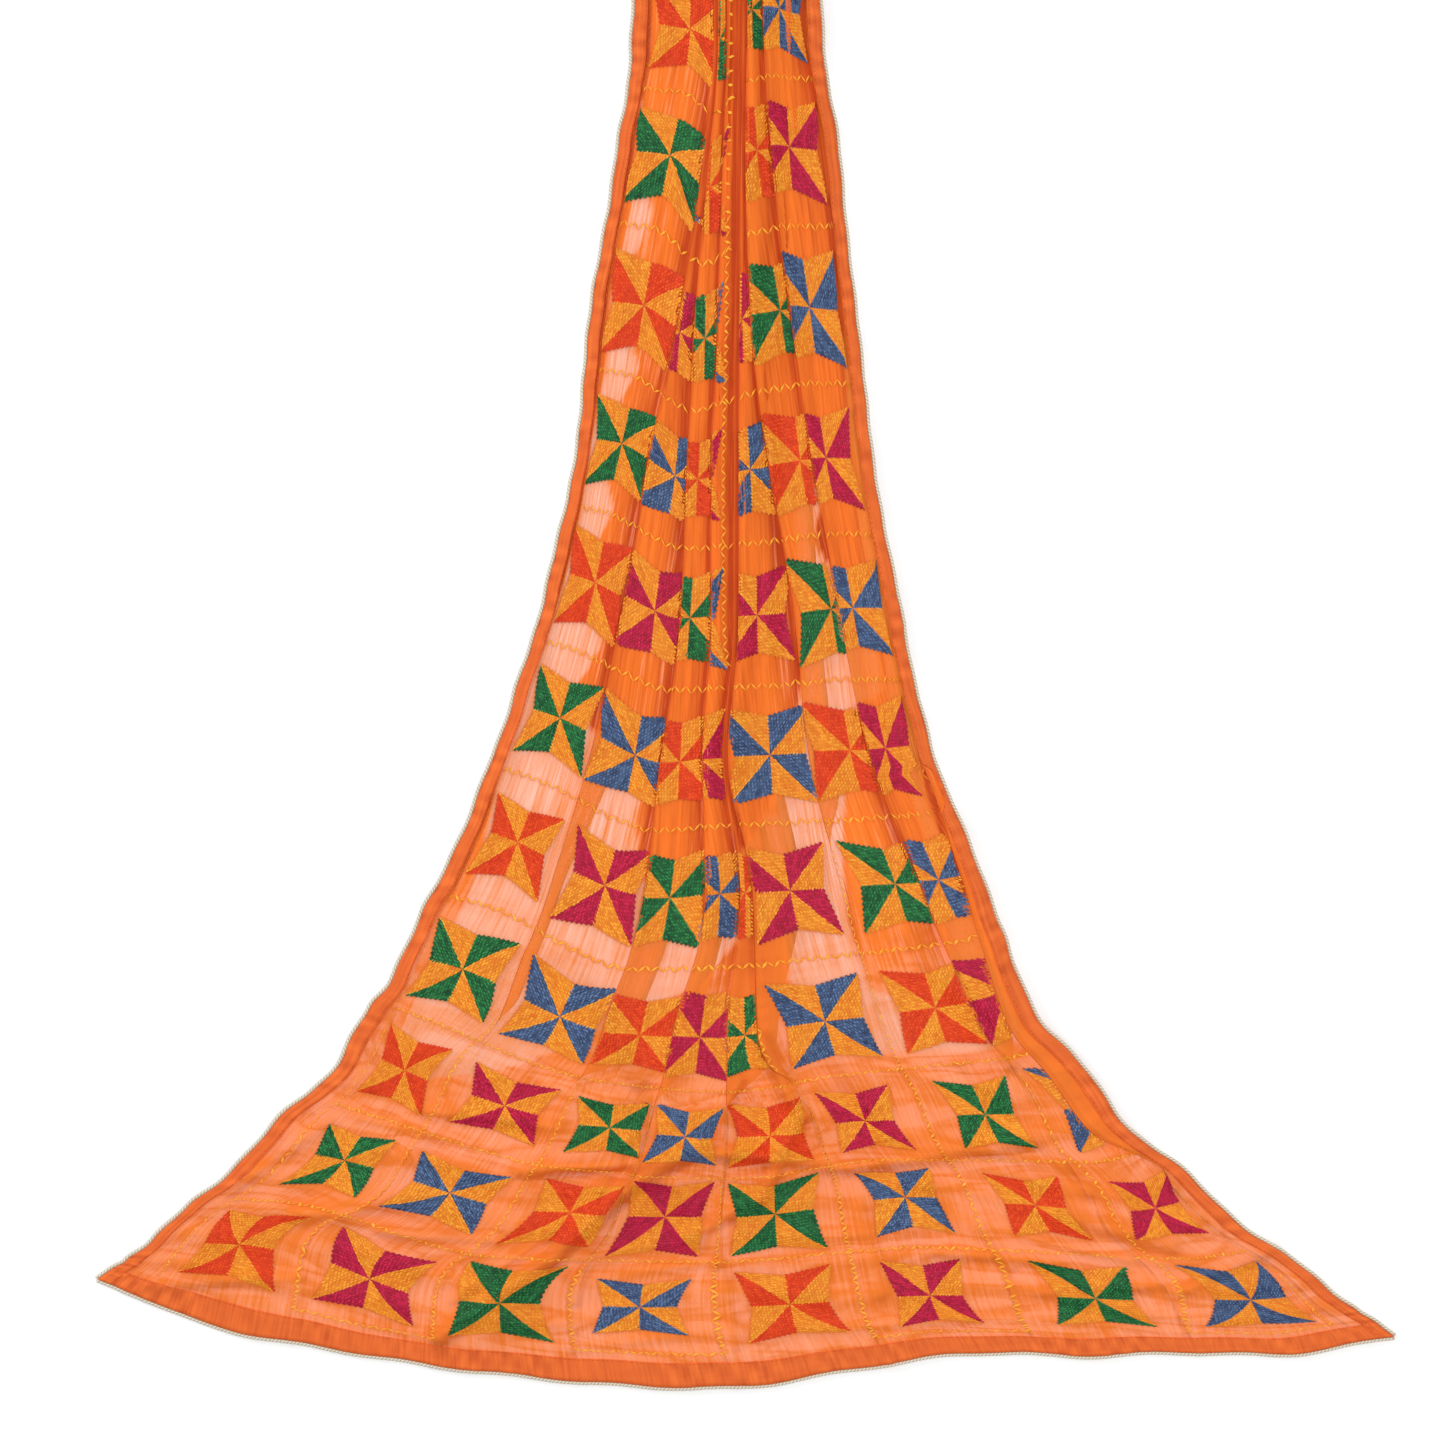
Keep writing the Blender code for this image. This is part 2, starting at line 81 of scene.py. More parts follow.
FOLD_X = [
    # hem|1 1|2  2|3  3|4  4|5  5|6  6|7   7|8   8|hem
    (124, 288, 432, 580, 735, 888, 1040, 1198, 1366),
    (174, 305, 435, 570, 715, 860, 1012, 1172, 1306),
    (280, 398, 510, 618, 722, 840, 970, 1095, 1186),
    (368, 455, 557, 648, 728, 818, 925, 1040, 1070),
    (421, 510, 602, 672, 727, 757, 880, 968, 996),
    (482, 558, 643, 705, 740, 752, 842, 919, 960),
    (528, 595, 660, 702, 723, 727, 808, 867, 912),
    (567, 624, 680, 711, 734, 738, 793, 838, 882),
    (593, 648, 686, 711, 734, 738, 768, 811, 856),
    (608, 676, 693, 717, 735, 739, 750, 789, 838),
    (633, 700, 706, 722, 737, 741, 745, 770, 820),
    (650, 714, 718, 727, 739, 743, 747, 762, 803),
]
ZIGZAGS = (1, 1, 1, 2, 1, 2, 1, 1, 2)
ROW_Y = [
    # left   1     3    mid    6     8   right
    (1280, 1324, 1368, 1386, 1353, 1353, 1334),
    (1242, 1244, 1300, 1307, 1295, 1300, 1291),
    (1143, 1160, 1210, 1217, 1197, 1210, 1195),
    (1045, 1070, 1122, 1138, 1120, 1110, 1100),
    (952, 968, 1033, 1037, 1022, 1000, 983),
    (826, 840, 898, 893, 890, 880, 868),
    (703, 715, 762, 758, 755, 748, 745),
    (572, 580, 618, 617, 615, 608, 610),
    (438, 442, 480, 475, 470, 458, 460),
    (298, 305, 340, 328, 320, 308, 308),
    (150, 155, 188, 172, 158, 148, 148),
    (26, 30, 40, 25, 15, 12, 14),
]
# How wide the embroidered squares lie, next to their flat width, row by row,
# and how far the cloth between them has gone into pleats.
SPREAD = (1.0, 0.90, 0.88, 0.80, 0.88, 0.82, 0.79, 0.74, 0.73, 0.77, 0.77, 0.75)
PLEATED = (0.0, 0.0, 0.0, 0.0, 1.0, 1.0, 1.0, 1.0, 1.0, 1.0, 1.0, 1.0)
# How far the right edge is turned in over the last column of squares.
TURNED_IN = (0.0, 0.0, 0.0, 1.0, 1.0, 1.0, 0.0, 0.0, 0.0, 0.0, 0.0, 0.0)
# Gaps narrower than this share of their flat width fold under, fold by fold.
FOLD_AT = (-9.0, 0.30, 0.30, 0.30, 0.30, 0.30, 0.30, 0.30, 0.0)
FAR_PARTS = ((1.40, 1.02), (1.90, 1.18), (LENGTH, 1.60))
FAR_KEEP = 0.985
FAR_MIDDLE = 728.0
FAR_SPREAD = [0.75, 1.0, 0.0]
LEVEL_WITHIN = 0.7
ROW_T = [0.0] + [END_MARGIN + CELL * (i + 0.5) for i in range(11)]


def ramp(x, start, over):
    """0 before the start and 1 from a stretch after it on."""
    return np.clip((x - start) / over, 0, 1)


def eased(share):
    """A share from 0 to 1 that starts and ends softly."""
    return share * share * (3 - 2 * share)


def hump(x, width):
    """1 at zero and falling off softly on both sides."""
    return np.exp(-((x / width) ** 2))


def metres_x(x):
    """The frame's x of a place in units."""
    return (np.asarray(x, dtype=float) - ORIGIN_X) * UNIT + MOVED[0]


def metres_y(y):
    """The frame's y of a place in units."""
    return (ORIGIN_Y - np.asarray(y, dtype=float)) * UNIT + MOVED[1]


def build_sections():
    """All sections as arrays: t, anchors, folds, spread and row heights."""
    t_list = list(ROW_T)
    anchors = list(ANCHOR_X)
    folds = list(FOLD_X)
    heights = list(ROW_Y)
    spread = list(zip(SPREAD, PLEATED, TURNED_IN))
    level = sum(ROW_Y[-1]) / len(ROW_Y[-1])
    for t, wider in FAR_PARTS:
        t_list.append(t)
        anchors.append([FAR_MIDDLE + (x - FAR_MIDDLE) * wider for x in ANCHOR_X[-1]])
        folds.append([FAR_MIDDLE + (x - FAR_MIDDLE) * wider for x in FOLD_X[-1]])
        further = (t - ROW_T[-1]) * FAR_KEEP / UNIT
        level_part = min(1.0, (t - ROW_T[-1]) / LEVEL_WITHIN)
        heights.append([y + (level - y) * level_part - further for y in ROW_Y[-1]])
        spread.append(FAR_SPREAD)
    return (
        np.array(t_list), metres_x(anchors), metres_x(folds), np.array(spread),
        metres_y(heights))


def slopes(x, y):
    """Slopes for a smooth curve through points that never overshoots them."""
    step = np.diff(y, axis=0) / np.diff(x).reshape((-1,) + (1,) * (y.ndim - 1))
    slope = np.zeros_like(y)
    slope[0] = step[0]
    slope[-1] = step[-1]
    before = step[:-1]
    after = step[1:]
    same = before * after > 0
    total = np.where(same, before + after, 1.0)
    slope[1:-1] = np.where(same, 2.0 * before * after / total, 0.0)
    return slope


def smooth_at(x, y, slope, at):
    """The values at one or many places on the smooth curve through (x, y)."""
    i = np.clip(np.searchsorted(x, at) - 1, 0, len(x) - 2)
    width = x[i + 1] - x[i]
    s = (at - x[i]) / width
    a = (1 + 2 * s) * (1 - s) ** 2
    b = s * (1 - s) ** 2 * width
    c = s * s * (3 - 2 * s)
    d = s * s * (s - 1) * width
    return a * y[i] + b * slope[i] + c * y[i + 1] + d * slope[i + 1]


SECTION_T, *SECTION_VALUES = build_sections()
CURVES = [(values, slopes(SECTION_T, values)) for values in SECTION_VALUES]

# Soft ridges in the fan, where the cloth bunches up over the floor, and low
# thin creases that run out from them.
HIGHEST = 0.0115
# The way that their shaded side faces.
LEE = (0.35, -0.94)
RIDGES = [
    # x0   y0    x1    y1   height  width
    (700, 1142, 640, 1176, 0.0115, 0.0075),
    (640, 1176, 545, 1262, 0.0115, 0.0065),
    (545, 1262, 440, 1335, 0.0095, 0.0065),
    (762, 1040, 800, 1115, 0.0105, 0.0060),
    (800, 1115, 762, 1195, 0.0095, 0.0060),
    (762, 1195, 690, 1235, 0.0060, 0.0055),
    (520, 1170, 690, 1155, 0.0070, 0.0055),
    (700, 1150, 850, 1165, 0.0065, 0.0055),
    (850, 1165, 1030, 1140, 0.0050, 0.0065),
    (860, 1210, 880, 1290, 0.0045, 0.0065),
    (1060, 1210, 1170, 1245, 0.0045, 0.0070),
    (300, 1215, 420, 1195, 0.0040, 0.0070),
    (560, 950, 640, 1080, 0.0045, 0.0070),
    (905, 930, 1010, 1060, 0.0045, 0.0070),
    (640, 1120, 600, 1190, 0.0040, 0.0040),
    (600, 1190, 575, 1300, 0.0034, 0.0040),
    (660, 1165, 720, 1260, 0.0036, 0.0042),
    (720, 1260, 735, 1345, 0.0032, 0.0042),
    (740, 1080, 700, 1150, 0.0042, 0.0040),
    (830, 1060, 905, 1160, 0.0036, 0.0042),
    (905, 1160, 1010, 1265, 0.0032, 0.0045),
    (960, 1060, 1090, 1190, 0.0034, 0.0045),
    (1040, 1290, 1150, 1285, 0.0030, 0.0042),
    (930, 1250, 1060, 1262, 0.0030, 0.0040),
    (420, 1110, 560, 1125, 0.0032, 0.0042),
    (380, 1230, 500, 1240, 0.0030, 0.0042),
    (455, 1300, 560, 1225, 0.0034, 0.0040),
    (230, 1190, 330, 1120, 0.0030, 0.0045),
    (150, 1285, 300, 1275, 0.0028, 0.0045),
    (1180, 1290, 1290, 1240, 0.0030, 0.0045),
]


def ridge_height(x, y):
    """Height of the bunched ridges, and the shade on the side that slopes
    away from the light."""
    best = np.zeros_like(x)
    shade = np.zeros_like(x)
    for x0, y0, x1, y1, height, width in RIDGES:
        ax = metres_x(x0)
        ay = metres_y(y0)
        dx = (x1 - x0) * UNIT
        dy = -(y1 - y0) * UNIT
        share = np.clip(((x - ax) * dx + (y - ay) * dy) / (dx * dx + dy * dy), 0, 1)
        off_x = x - ax - share * dx
        off_y = y - ay - share * dy
        away = np.hypot(off_x, off_y)
        one = height * hump(away, width)
        best = (best ** 3 + one ** 3) ** (1.0 / 3.0)
        lee = np.clip((LEE[0] * off_x + LEE[1] * off_y) / (away + 1e-6), 0, 1)
        band = hump(away - 0.9 * width, 0.55 * width)
        shade = np.maximum(shade, lee * band * height / HIGHEST)
    return best, shade


FLOW_WAVES = (
    # height, waves across, start, sway, sway along
    (0.56, 6.3, 0.13, 1.1, 9),
    (0.28, 13.7, 0.41, -0.9, 7),
    (0.16, 29.1, 0.77, 1.3, 12),
)
WRINKLE_STEP = 0.036


def ripple_height(across, t):
    """Lengthwise soft pleats and, in the fan, crosswise wrinkles."""
    column = ramp(t, 0.25, 0.35)
    flow = 0.0
    for height, waves, start, sway, along in FLOW_WAVES:
        turn = 2 * np.pi * (waves * across + start) + sway * np.sin(along * t)
        flow = flow + height * (0.5 + 0.5 * np.cos(turn))
    bend = 0.5 * np.sin(2 * np.pi * 1.15 * across + 0.5) + 0.22 * np.sin(2 * np.pi * 3.7 * across)
    bands = 0.5 + 0.5 * np.sin(2 * np.pi * (t / WRINKLE_STEP + bend))
    patches = 0.5 + 0.5 * np.sin(2 * np.pi * (4.3 * across + t / 0.09) + 2.0 * bend)
    window = ramp(t, 0.02, 0.04) * ramp(-t, -0.40, 0.12)
    cross = window * bands ** 1.5 * (0.35 + 0.65 * patches)
    return (0.0026 - 0.0008 * column) * flow + 0.0024 * cross


# The most that the stiff parts fill of the room between them.
FILLED = 0.95
EDGE_FILLED = 0.96
# How far in each hidden fold starts, and how much shorter each one is.
FOLD_INSET = 0.15
FOLD_SHORTER = 0.12
# A layer narrower than the first lifts nothing, and one wider by the second
# lifts what lies on it by all of its thickness.
LIFTS_FROM = 0.001
LIFTS_FULLY = 0.012
# The cloth turning back under a fold edge keeps it soft and rises a little.
TURN_RISE = 0.0011
TURN_INSET = 0.004
TURN_WIDTH = 0.0045


class Section:
    """The cloth's path across at one distance t from the shown end."""

    def __init__(self, t):
        anchors, folds, shares, self.row_y = (
            smooth_at(SECTION_T, values, slope, t) for values, slope in CURVES)
        spread, pleated, turned_in = shares
        self.left = anchors[0]
        self.right = anchors[-1]
        # y follows x, so every hidden layer of a row lies on the same line.
        middle = 0.5 * (folds[3] + folds[5])
        self.row_x = np.array(
            [anchors[0], anchors[1], folds[2] + 0.2 * (folds[3] - folds[2]), middle,
             folds[5] + 0.5 * (folds[6] - folds[5]), folds[7] + 0.4 * (folds[8] - folds[7]),
             anchors[9]]
        )
        self.row_slope = slopes(self.row_x, self.row_y)
        # The stiff part round each anchor: its half width, and how wide its
        # two halves lie. At the cloth's two edges it is the hem.
        stiff = [SIDE_HEM] + [STIFF] * COLUMNS + [SIDE_HEM]
        space = np.diff(anchors)
        room = FILLED * np.minimum(space[:-1], space[1:]) / (2 * STIFF)
        own_side = FILLED * space[-2] / (2 * STIFF)
        room[-1] = turned_in * own_side + (1 - turned_in) * room[-1]
        squares = pleated * spread + (1 - pleated) * np.minimum(spread, room)
        hem = min(1.0, 0.85 * (folds[0] - anchors[0]) / SIDE_HEM)
        to_left = np.concatenate([[hem], squares, [hem]])
        to_right = to_left.copy()
        free = anchors[1] - anchors[0] - SIDE_HEM * hem
        to_left[1] = min(to_left[1], EDGE_FILLED * free / STIFF)
        free = anchors[9] - anchors[8] - SIDE_HEM * hem
        squeezed = min(to_right[8], max(EDGE_FILLED * free / STIFF, 0.3))
        to_right[8] = turned_in * to_right[8] + (1 - turned_in) * squeezed
        # Each segment is u and x at both ends. A strip that shows also has
        # knots (u, x), so that its stiff parts keep their width.
        self.segments = []
        self.strips = []
        self.knots = []
        knots = [(0.0, self.left), (SIDE_HEM, self.left + SIDE_HEM * hem)]
        for i in range(COLUMNS + 1):
            x_a = anchors[i]
            x_b = anchors[i + 1]
            end_a = x_a + stiff[i] * to_right[i]
            end_b = x_b - stiff[i + 1] * to_left[i + 1]
            gap = ANCHOR_U[i + 1] - ANCHOR_U[i] - stiff[i] - stiff[i + 1]
            folded = np.clip((FOLD_AT[i] - (end_b - end_a) / gap) / 0.25, 0.0, 1.0)
            folded = eased(turned_in if i == 8 else pleated * folded)
            fold = folds[i]
            if folded < 1.0:
                # Where nothing folds under, the strips meet inside the gap.
                between = min(max(fold, end_a + 0.0002), end_b - 0.0002)
                if end_b - end_a < 0.0006:
                    between = 0.5 * (end_a + end_b)
                fold = folded * fold + (1 - folded) * between
            before = ANCHOR_U[i] + (fold - x_a) / to_right[i]
            after = ANCHOR_U[i + 1] - (x_b - fold) / to_left[i + 1]
            # What isn't folded under stretches over the gap's two sides.
            kept = (1 - folded) * (after - before)
            side_a = max(fold - end_a, 0.0)
            side_b = max(end_b - fold, 0.0)
            part = side_a / (side_a + side_b) if side_a + side_b > 0 else 0.5
            before += kept * part
            after -= kept * (1 - part)
            hidden = max(after - before, 0.0) if folded > 0 else 0.0
            if hidden < 0.003:
                centre = 0.5 * (before + after)
                before = centre - 0.5 * hidden
                after = centre + 0.5 * hidden
            self.add_strip(knots + [(before, fold)])
            self.add_hidden(before, hidden, fold, ZIGZAGS[i])
            knots = [
                (after, fold),
                (ANCHOR_U[i + 1] - stiff[i + 1], end_b),
                (ANCHOR_U[i + 1] + stiff[i + 1], x_b + stiff[i + 1] * to_right[i + 1]),
            ]
        self.add_strip(knots[:2] + [(WIDTH, self.right)])

    def add_strip(self, knots):
        """A strip that shows, from its first knot to its last."""
        first = knots[0]
        last = knots[-1]
        self.strips.append(len(self.segments))
        self.segments.append((first[0], last[0], first[1], last[1]))
        self.knots.append(sorted(k for k in knots if first[1] <= k[1] <= last[1]))

    def add_hidden(self, u, hidden, fold, times):
        """The cloth hidden behind a fold edge, back and forth to its right."""
        depth = min(hidden / (2 * times), 0.985 * (self.right - fold))
        u_step = hidden / (2 * times)
        for k in range(times):
            inner = 0.0 if k == 0 else FOLD_INSET * depth
            outer = 0.0 if k == times - 1 else FOLD_INSET * depth
            start = u + 2 * k * u_step
            turn = fold + depth * (1.0 - FOLD_SHORTER * k)
            self.segments.append((start, start + u_step, fold + inner, turn))
            self.segments.append((start + u_step, start + 2 * u_step, turn, fold + outer))

    def row_height(self, x):
        return smooth_at(self.row_x, self.row_y, self.row_slope, x)

    def below(self, index, x):
        """How high the earlier layers lift segment index at x."""
        lift = np.zeros_like(x)
        for _, _, x_a, x_b in self.segments[:index]:
            low, high = min(x_a, x_b), max(x_a, x_b)
            full = min(1.0, max(0.0, high - low - LIFTS_FROM) / LIFTS_FULLY)
            if full == 0.0:
                continue
            past = np.maximum(x - high, 0.0)
            cover = eased(np.clip(1.0 - past / LAYER_ENDS, 0, 1)) * (x >= low - 1e-6)
            thick = LAYER
            if x_b < x_a:
                thick = LAYER + TURN_RISE * full * hump(x - x_b - TURN_INSET, TURN_WIDTH)
            lift += full * cover * thick
        return lift


# Where the cloth lies in a single open layer, so the pale floor shows through
# it most: bands that run down the shawl, as rows of y, left and right side.
PALE_BANDS = {
    "left": [
        (95, 640, 642), (150, 640, 646), (215, 630, 652), (290, 612, 622), (365, 606, 640),
        (440, 592, 600), (508, 582, 614), (575, 566, 584), (645, 545, 602), (715, 515, 560),
        (770, 500, 652), (815, 490, 636), (880, 474, 640), (935, 450, 742), (985, 425, 700),
        (1030, 400, 604), (1065, 380, 520), (1085, 370, 400),
    ],
    "middle": [
        (470, 796, 808), (500, 792, 822), (540, 796, 812), (630, 806, 872), (690, 800, 884),
        (740, 792, 812), (790, 782, 846), (860, 738, 842), (930, 786, 850), (990, 790, 872),
        (1020, 860, 980), (1045, 860, 1010), (1060, 900, 960),
    ],
    "right": [
        (330, 842, 846), (440, 850, 866), (540, 862, 874), (640, 882, 893), (720, 892, 912),
        (800, 912, 926), (880, 938, 956), (960, 950, 990), (1030, 990, 1020), (1050, 1010, 1014),
    ],
}
# How soft their sides and ends are.
PALE_SIDE = 4.0
PALE_END = 14.0


def pale_share(x, y):
    """How much each place belongs to a single open layer."""
    px = (x - MOVED[0]) / UNIT + ORIGIN_X
    py = ORIGIN_Y - (y - MOVED[1]) / UNIT
    best = np.zeros_like(x)
    for rows in PALE_BANDS.values():
        heights, left, right = np.array(rows, dtype=float).T
        inside = np.minimum(px - np.interp(py, heights, left), np.interp(py, heights, right) - px)
        ends = np.minimum(py - heights[0], heights[-1] - py)
        share = np.clip(0.5 + inside / PALE_SIDE, 0, 1) * ramp(ends, 0, PALE_END)
        best = np.maximum(best, share)
    return eased(best)


STRIP_COLUMNS = (7, 23, 23, 23, 23, 23, 23, 23, 23, 13)
# Painted shade: how much deeper each strip is drawn in the gathered column, from left to right.
STRIP_SHADE = (0.0, 0.04, 0.12, 0.02, 0.04, 0.16, 0.10, 0.0, 0.08, 0.08)
HIDDEN_COLUMNS = 4
# Columns lie closer together at a strip's turned edge.
CROWDED = 1.35
# Nothing sewn shows on a narrow strip. A gap that hides hardly any cloth goes
# on with the strip before it.
NARROW = 0.005
HARDLY_HIDDEN = 0.0008
# Where the fan goes over into the gathered column.
COLUMN_FROM = 0.40
COLUMN_WITHIN = 0.12
DRAWN_IN = 0.0042
# The dense line on a fold edge, the painted shadow line beside it and the painted shade beyond.
EDGE_LINE = 0.0018
DARK_LINE = 0.0028
SOFT_SHADE = 0.012
# Painted shade: ripples lower than this are drawn deeper in colour, and higher ones lighter.
HOLLOW = 0.0015
# How much the cloth covers in the fan, and how much more in the column. What a
# single open layer loses: this much in the fan, and all of the column's more.
COVER = 0.83
COVER_MORE = 0.22
COVER_LOST = 0.13


def sheet_row(t):
    """One row of the sheet: places, strip numbers and how dense it looks."""
    section = Section(t)
    parts = []
    for k, (u_a, u_b, x_a, x_b) in enumerate(section.segments):
        if k in section.strips:
            number = section.strips.index(k)
            s = np.linspace(0.0, 1.0, STRIP_COLUMNS[number]) ** (CROWDED if number > 0 else 1.0)
            x = x_a + (x_b - x_a) * s
            knots = np.array(section.knots[number])
            u = np.interp(x, knots[:, 1], knots[:, 0])
            shown = number if x_b - x_a > NARROW else -1
        else:
            s = np.linspace(0.0, 1.0, HIDDEN_COLUMNS)
            x = x_a + (x_b - x_a) * s
            u = u_a + (u_b - u_a) * s
            shown = parts[-1][3][-1] if abs(u_b - u_a) < HARDLY_HIDDEN else -1
        parts.append((u, x, section.below(k, x), [shown] * len(s)))
    # Neighbouring segments share their turn, half way between their heights.
    u_row, x_row, z_row, strip_row = (list(values) for values in parts[0])
    for u, x, z, strip in parts[1:]:
        z_row[-1] = 0.5 * (z_row[-1] + z[0])
        if strip[0] >= 0:
            strip_row[-1] = strip[0]
        for row, values in ((u_row, u), (x_row, x), (z_row, z), (strip_row, strip)):
            row.extend(values[1:])
    u_row = np.array(u_row)
    x_row = np.array(x_row)
    across = (x_row - section.left) / (section.right - section.left)
    # The embroidered squares keep their height, so the cloth between two rows
    # of them is drawn together.
    column = ramp(t, COLUMN_FROM, COLUMN_WITHIN)
    stiffer = DRAWN_IN * (1 - column) * ramp(t, 0, 0.05)
    drawn = stiffer * np.sin(2 * np.pi * (t - ROW_T[1]) / CELL)
    y_row = Section(min(max(t + drawn, 0.0), LENGTH)).row_height(x_row)
    # The two long edges wander a little.
    wander = ramp(t, 0, 0.06) * ramp(LENGTH - t, 0, 0.06) * (
        0.0012 * np.sin(2 * np.pi * t / 0.113 + 2.3 * np.sin(11 * t))
        + 0.0009 * np.sin(2 * np.pi * t / 0.041 + 2.9 * np.sin(7 * t)))
    near_left = hump(x_row - section.left, 0.012)
    near_right = hump(section.right - x_row, 0.012)
    x_row = x_row + (1 - 0.5 * column) * wander * (near_left - 0.8 * near_right)
    # Nor is the edge of the shown end quite even.
    uneven = 0.0012 * np.sin(2 * np.pi * 4.7 * across + 2.0 * np.sin(9 * across))
    uneven = uneven + 0.0008 * np.sin(2 * np.pi * 12.3 * across + 2.1)
    y_row = y_row + hump(t, 0.03) * uneven
    ridge, lee = ridge_height(x_row, y_row)
    ripple = ripple_height(across, t)
    # The hems keep the ripples low.
    edge = np.clip(np.minimum(across, 1 - across) / 0.03, 0.25, 1)
    end = np.clip(min(t, LENGTH - t) / 0.03, 0.25, 1)
    layers = np.array(z_row) / LAYER
    z_row = REST + np.array(z_row) + ridge + ripple * edge * end
    # A fold edge looks denser, because the cloth there is seen edge on. Beside it, the strip to
    # its left gets a painted shadow line and painted shade.
    fold_line_and_shade = np.zeros_like(x_row)
    for left, k in zip(section.strips, section.strips[1:]):
        if section.segments[k][0] - section.segments[k - 1][1] > -1e-9 and layers.max() > 0.5:
            broad = min((section.segments[left][3] - section.segments[left][2]) / 0.025, 1.0)
            away = x_row - section.segments[k][2]
            edge_on = 0.3 * hump(away, EDGE_LINE) * (away > -1e-6)
            # The fold above casts a dark line on the strip to its left, with
            # a soft shade beside it.
            shaded = 0.68 * hump(away, DARK_LINE) + 0.34 * broad * hump(away, SOFT_SHADE)
            shaded = shaded * (away <= -1e-6)
            fold_line_and_shade = np.maximum(fold_line_and_shade, np.maximum(edge_on, shaded))
    # The cloth covers least in a single open layer and most on the ridges. Its colour is drawn
    # deepest with painted shade: in the shadows of folds, on the shaded side of ridges, in
    # hollows and on some strips of the column.
    pale = pale_share(x_row, y_row)
    cover = COVER + COVER_MORE * column - (COVER_LOST + COVER_MORE * column) * pale
    cover = cover + 16.0 * ridge + 24.0 * (ripple - 0.0014)
    cover = cover + 0.12 * fold_line_and_shade * column
    strip_shade = np.array(STRIP_SHADE)[np.maximum(strip_row, 0)]
    depth = 0.012 * np.minimum(layers, 5) + 1.55 * fold_line_and_shade * column + 0.95 * lee
    depth = depth + strip_shade * column + 22.0 * ridge
    # Painted shade in the ripples' hollows, and painted light on their crests.
    depth = depth + (0.22 + 0.08 * column) * np.clip((HOLLOW - ripple) / HOLLOW, -0.5, 1)
    depth = depth * (1 - 0.6 * pale)
    streak = np.full_like(x_row, 0.40 + 0.60 * column)
    return (
        u_row, x_row, y_row, z_row, np.array(strip_row),
        np.clip(cover, 0.45, 1.06), np.clip(depth, 0.0, 1.0), streak,
        np.maximum(pale, 0.45 * (1 - column)))


ROWS_T = np.concatenate([
    np.linspace(0.0, 0.46, 185)[:-1],
    np.linspace(0.46, 1.21, 113)[:-1],
    np.linspace(1.21, LENGTH, 62),
])
GRID = [np.array(values) for values in zip(*[sheet_row(t) for t in ROWS_T])]
GRID_U, GRID_X, GRID_Y, GRID_Z, GRID_STRIP = GRID[:5]


def lay(u, t, lift=0.0):
    """Where points of the flat cloth lie, and whether each one shows."""
    u = np.asarray(u, dtype=float)
    t = np.clip(np.asarray(t, dtype=float), 0.0, LENGTH)
    place = np.zeros(u.shape + (3,))
    shows = np.zeros(u.shape, dtype=bool)
    i = np.clip(np.searchsorted(ROWS_T, t, side="right") - 1, 0, len(ROWS_T) - 2)
    for row in np.unique(i):
        here = i == row
        share = (t[here] - ROWS_T[row]) / (ROWS_T[row + 1] - ROWS_T[row])
        for axis, grid in enumerate((GRID_X, GRID_Y, GRID_Z)):
            a = np.interp(u[here], GRID_U[row], grid[row])
            b = np.interp(u[here], GRID_U[row + 1], grid[row + 1])
            place[here, axis] = a + (b - a) * share
        column = np.clip(np.searchsorted(GRID_U[row], u[here]) - 1, 0, GRID_U.shape[1] - 2)
        shows[here] = (GRID_STRIP[row][column] >= 0) & (GRID_STRIP[row][column + 1] >= 0)
    place[..., 2] += lift
    return place, shows


def mesh_piece(name, points, faces, material, uv=None):
    """A new smooth mesh object, with its flat-cloth places as its UV map."""
    data = bpy.data.meshes.new(name)
    data.from_pydata(points.tolist(), [], faces)
    if uv is not None:
        layer = data.uv_layers.new(name="flat")
        corners = np.empty(len(data.loops), dtype=np.int32)
        data.loops.foreach_get("vertex_index", corners)
        layer.data.foreach_set("uv", uv[corners].astype(np.float32).ravel())
    data.shade_smooth()
    data.materials.append(material)
    piece = bpy.data.objects.new(name, data)
    bpy.context.scene.collection.objects.link(piece)
    return piece


def hold(piece, name, values):
    """Gives a piece one value for each point, for its material to read."""
    layer = piece.data.attributes.new(name, "FLOAT", "POINT")
    layer.data.foreach_set("value", np.asarray(values, dtype=np.float32).ravel())


def feed(tree, node, inputs):
    """Sets a node's inputs, each to its value or from another node's output."""
    for key, value in inputs.items():
        if isinstance(value, bpy.types.NodeSocket):
            tree.links.new(value, node.inputs[key])
        else:
            node.inputs[key].default_value = value


def new_node(tree, kind, inputs):
    """A shader node with its inputs set."""
    node = tree.nodes.new("ShaderNode" + kind)
    feed(tree, node, inputs)
    return node


def worked_out(tree, operation, *values, clamp=False):
    """The result of a sum on numbers or other nodes' outputs."""
    node = new_node(tree, "Math", dict(enumerate(values)))
    node.operation = operation
    node.use_clamp = clamp
    return node.outputs[0]


def blend(tree, share, a, b):
    """A colour that goes from a to b with the share."""
    node = tree.nodes.new("ShaderNodeMix")
    node.data_type = "RGBA"
    feed(tree, node, {"Factor": share, "A": a, "B": b})
    return node.outputs["Result"]


def held(tree, name):
    """The value that a piece holds under this name."""
    node = tree.nodes.new("ShaderNodeAttribute")
    node.attribute_name = name
    return node.outputs["Fac"]


def flat_place(tree):
    """The place on the flat cloth."""
    node = tree.nodes.new("ShaderNodeUVMap")
    node.uv_map = "flat"
    return node.outputs["UV"]


def new_material(name, roughness):
    """A material, its node tree and its shader."""
    material = bpy.data.materials.new(name)
    material.use_nodes = True
    shader = material.node_tree.nodes["Principled BSDF"]
    shader.inputs["Roughness"].default_value = roughness
    return material, material.node_tree, shader


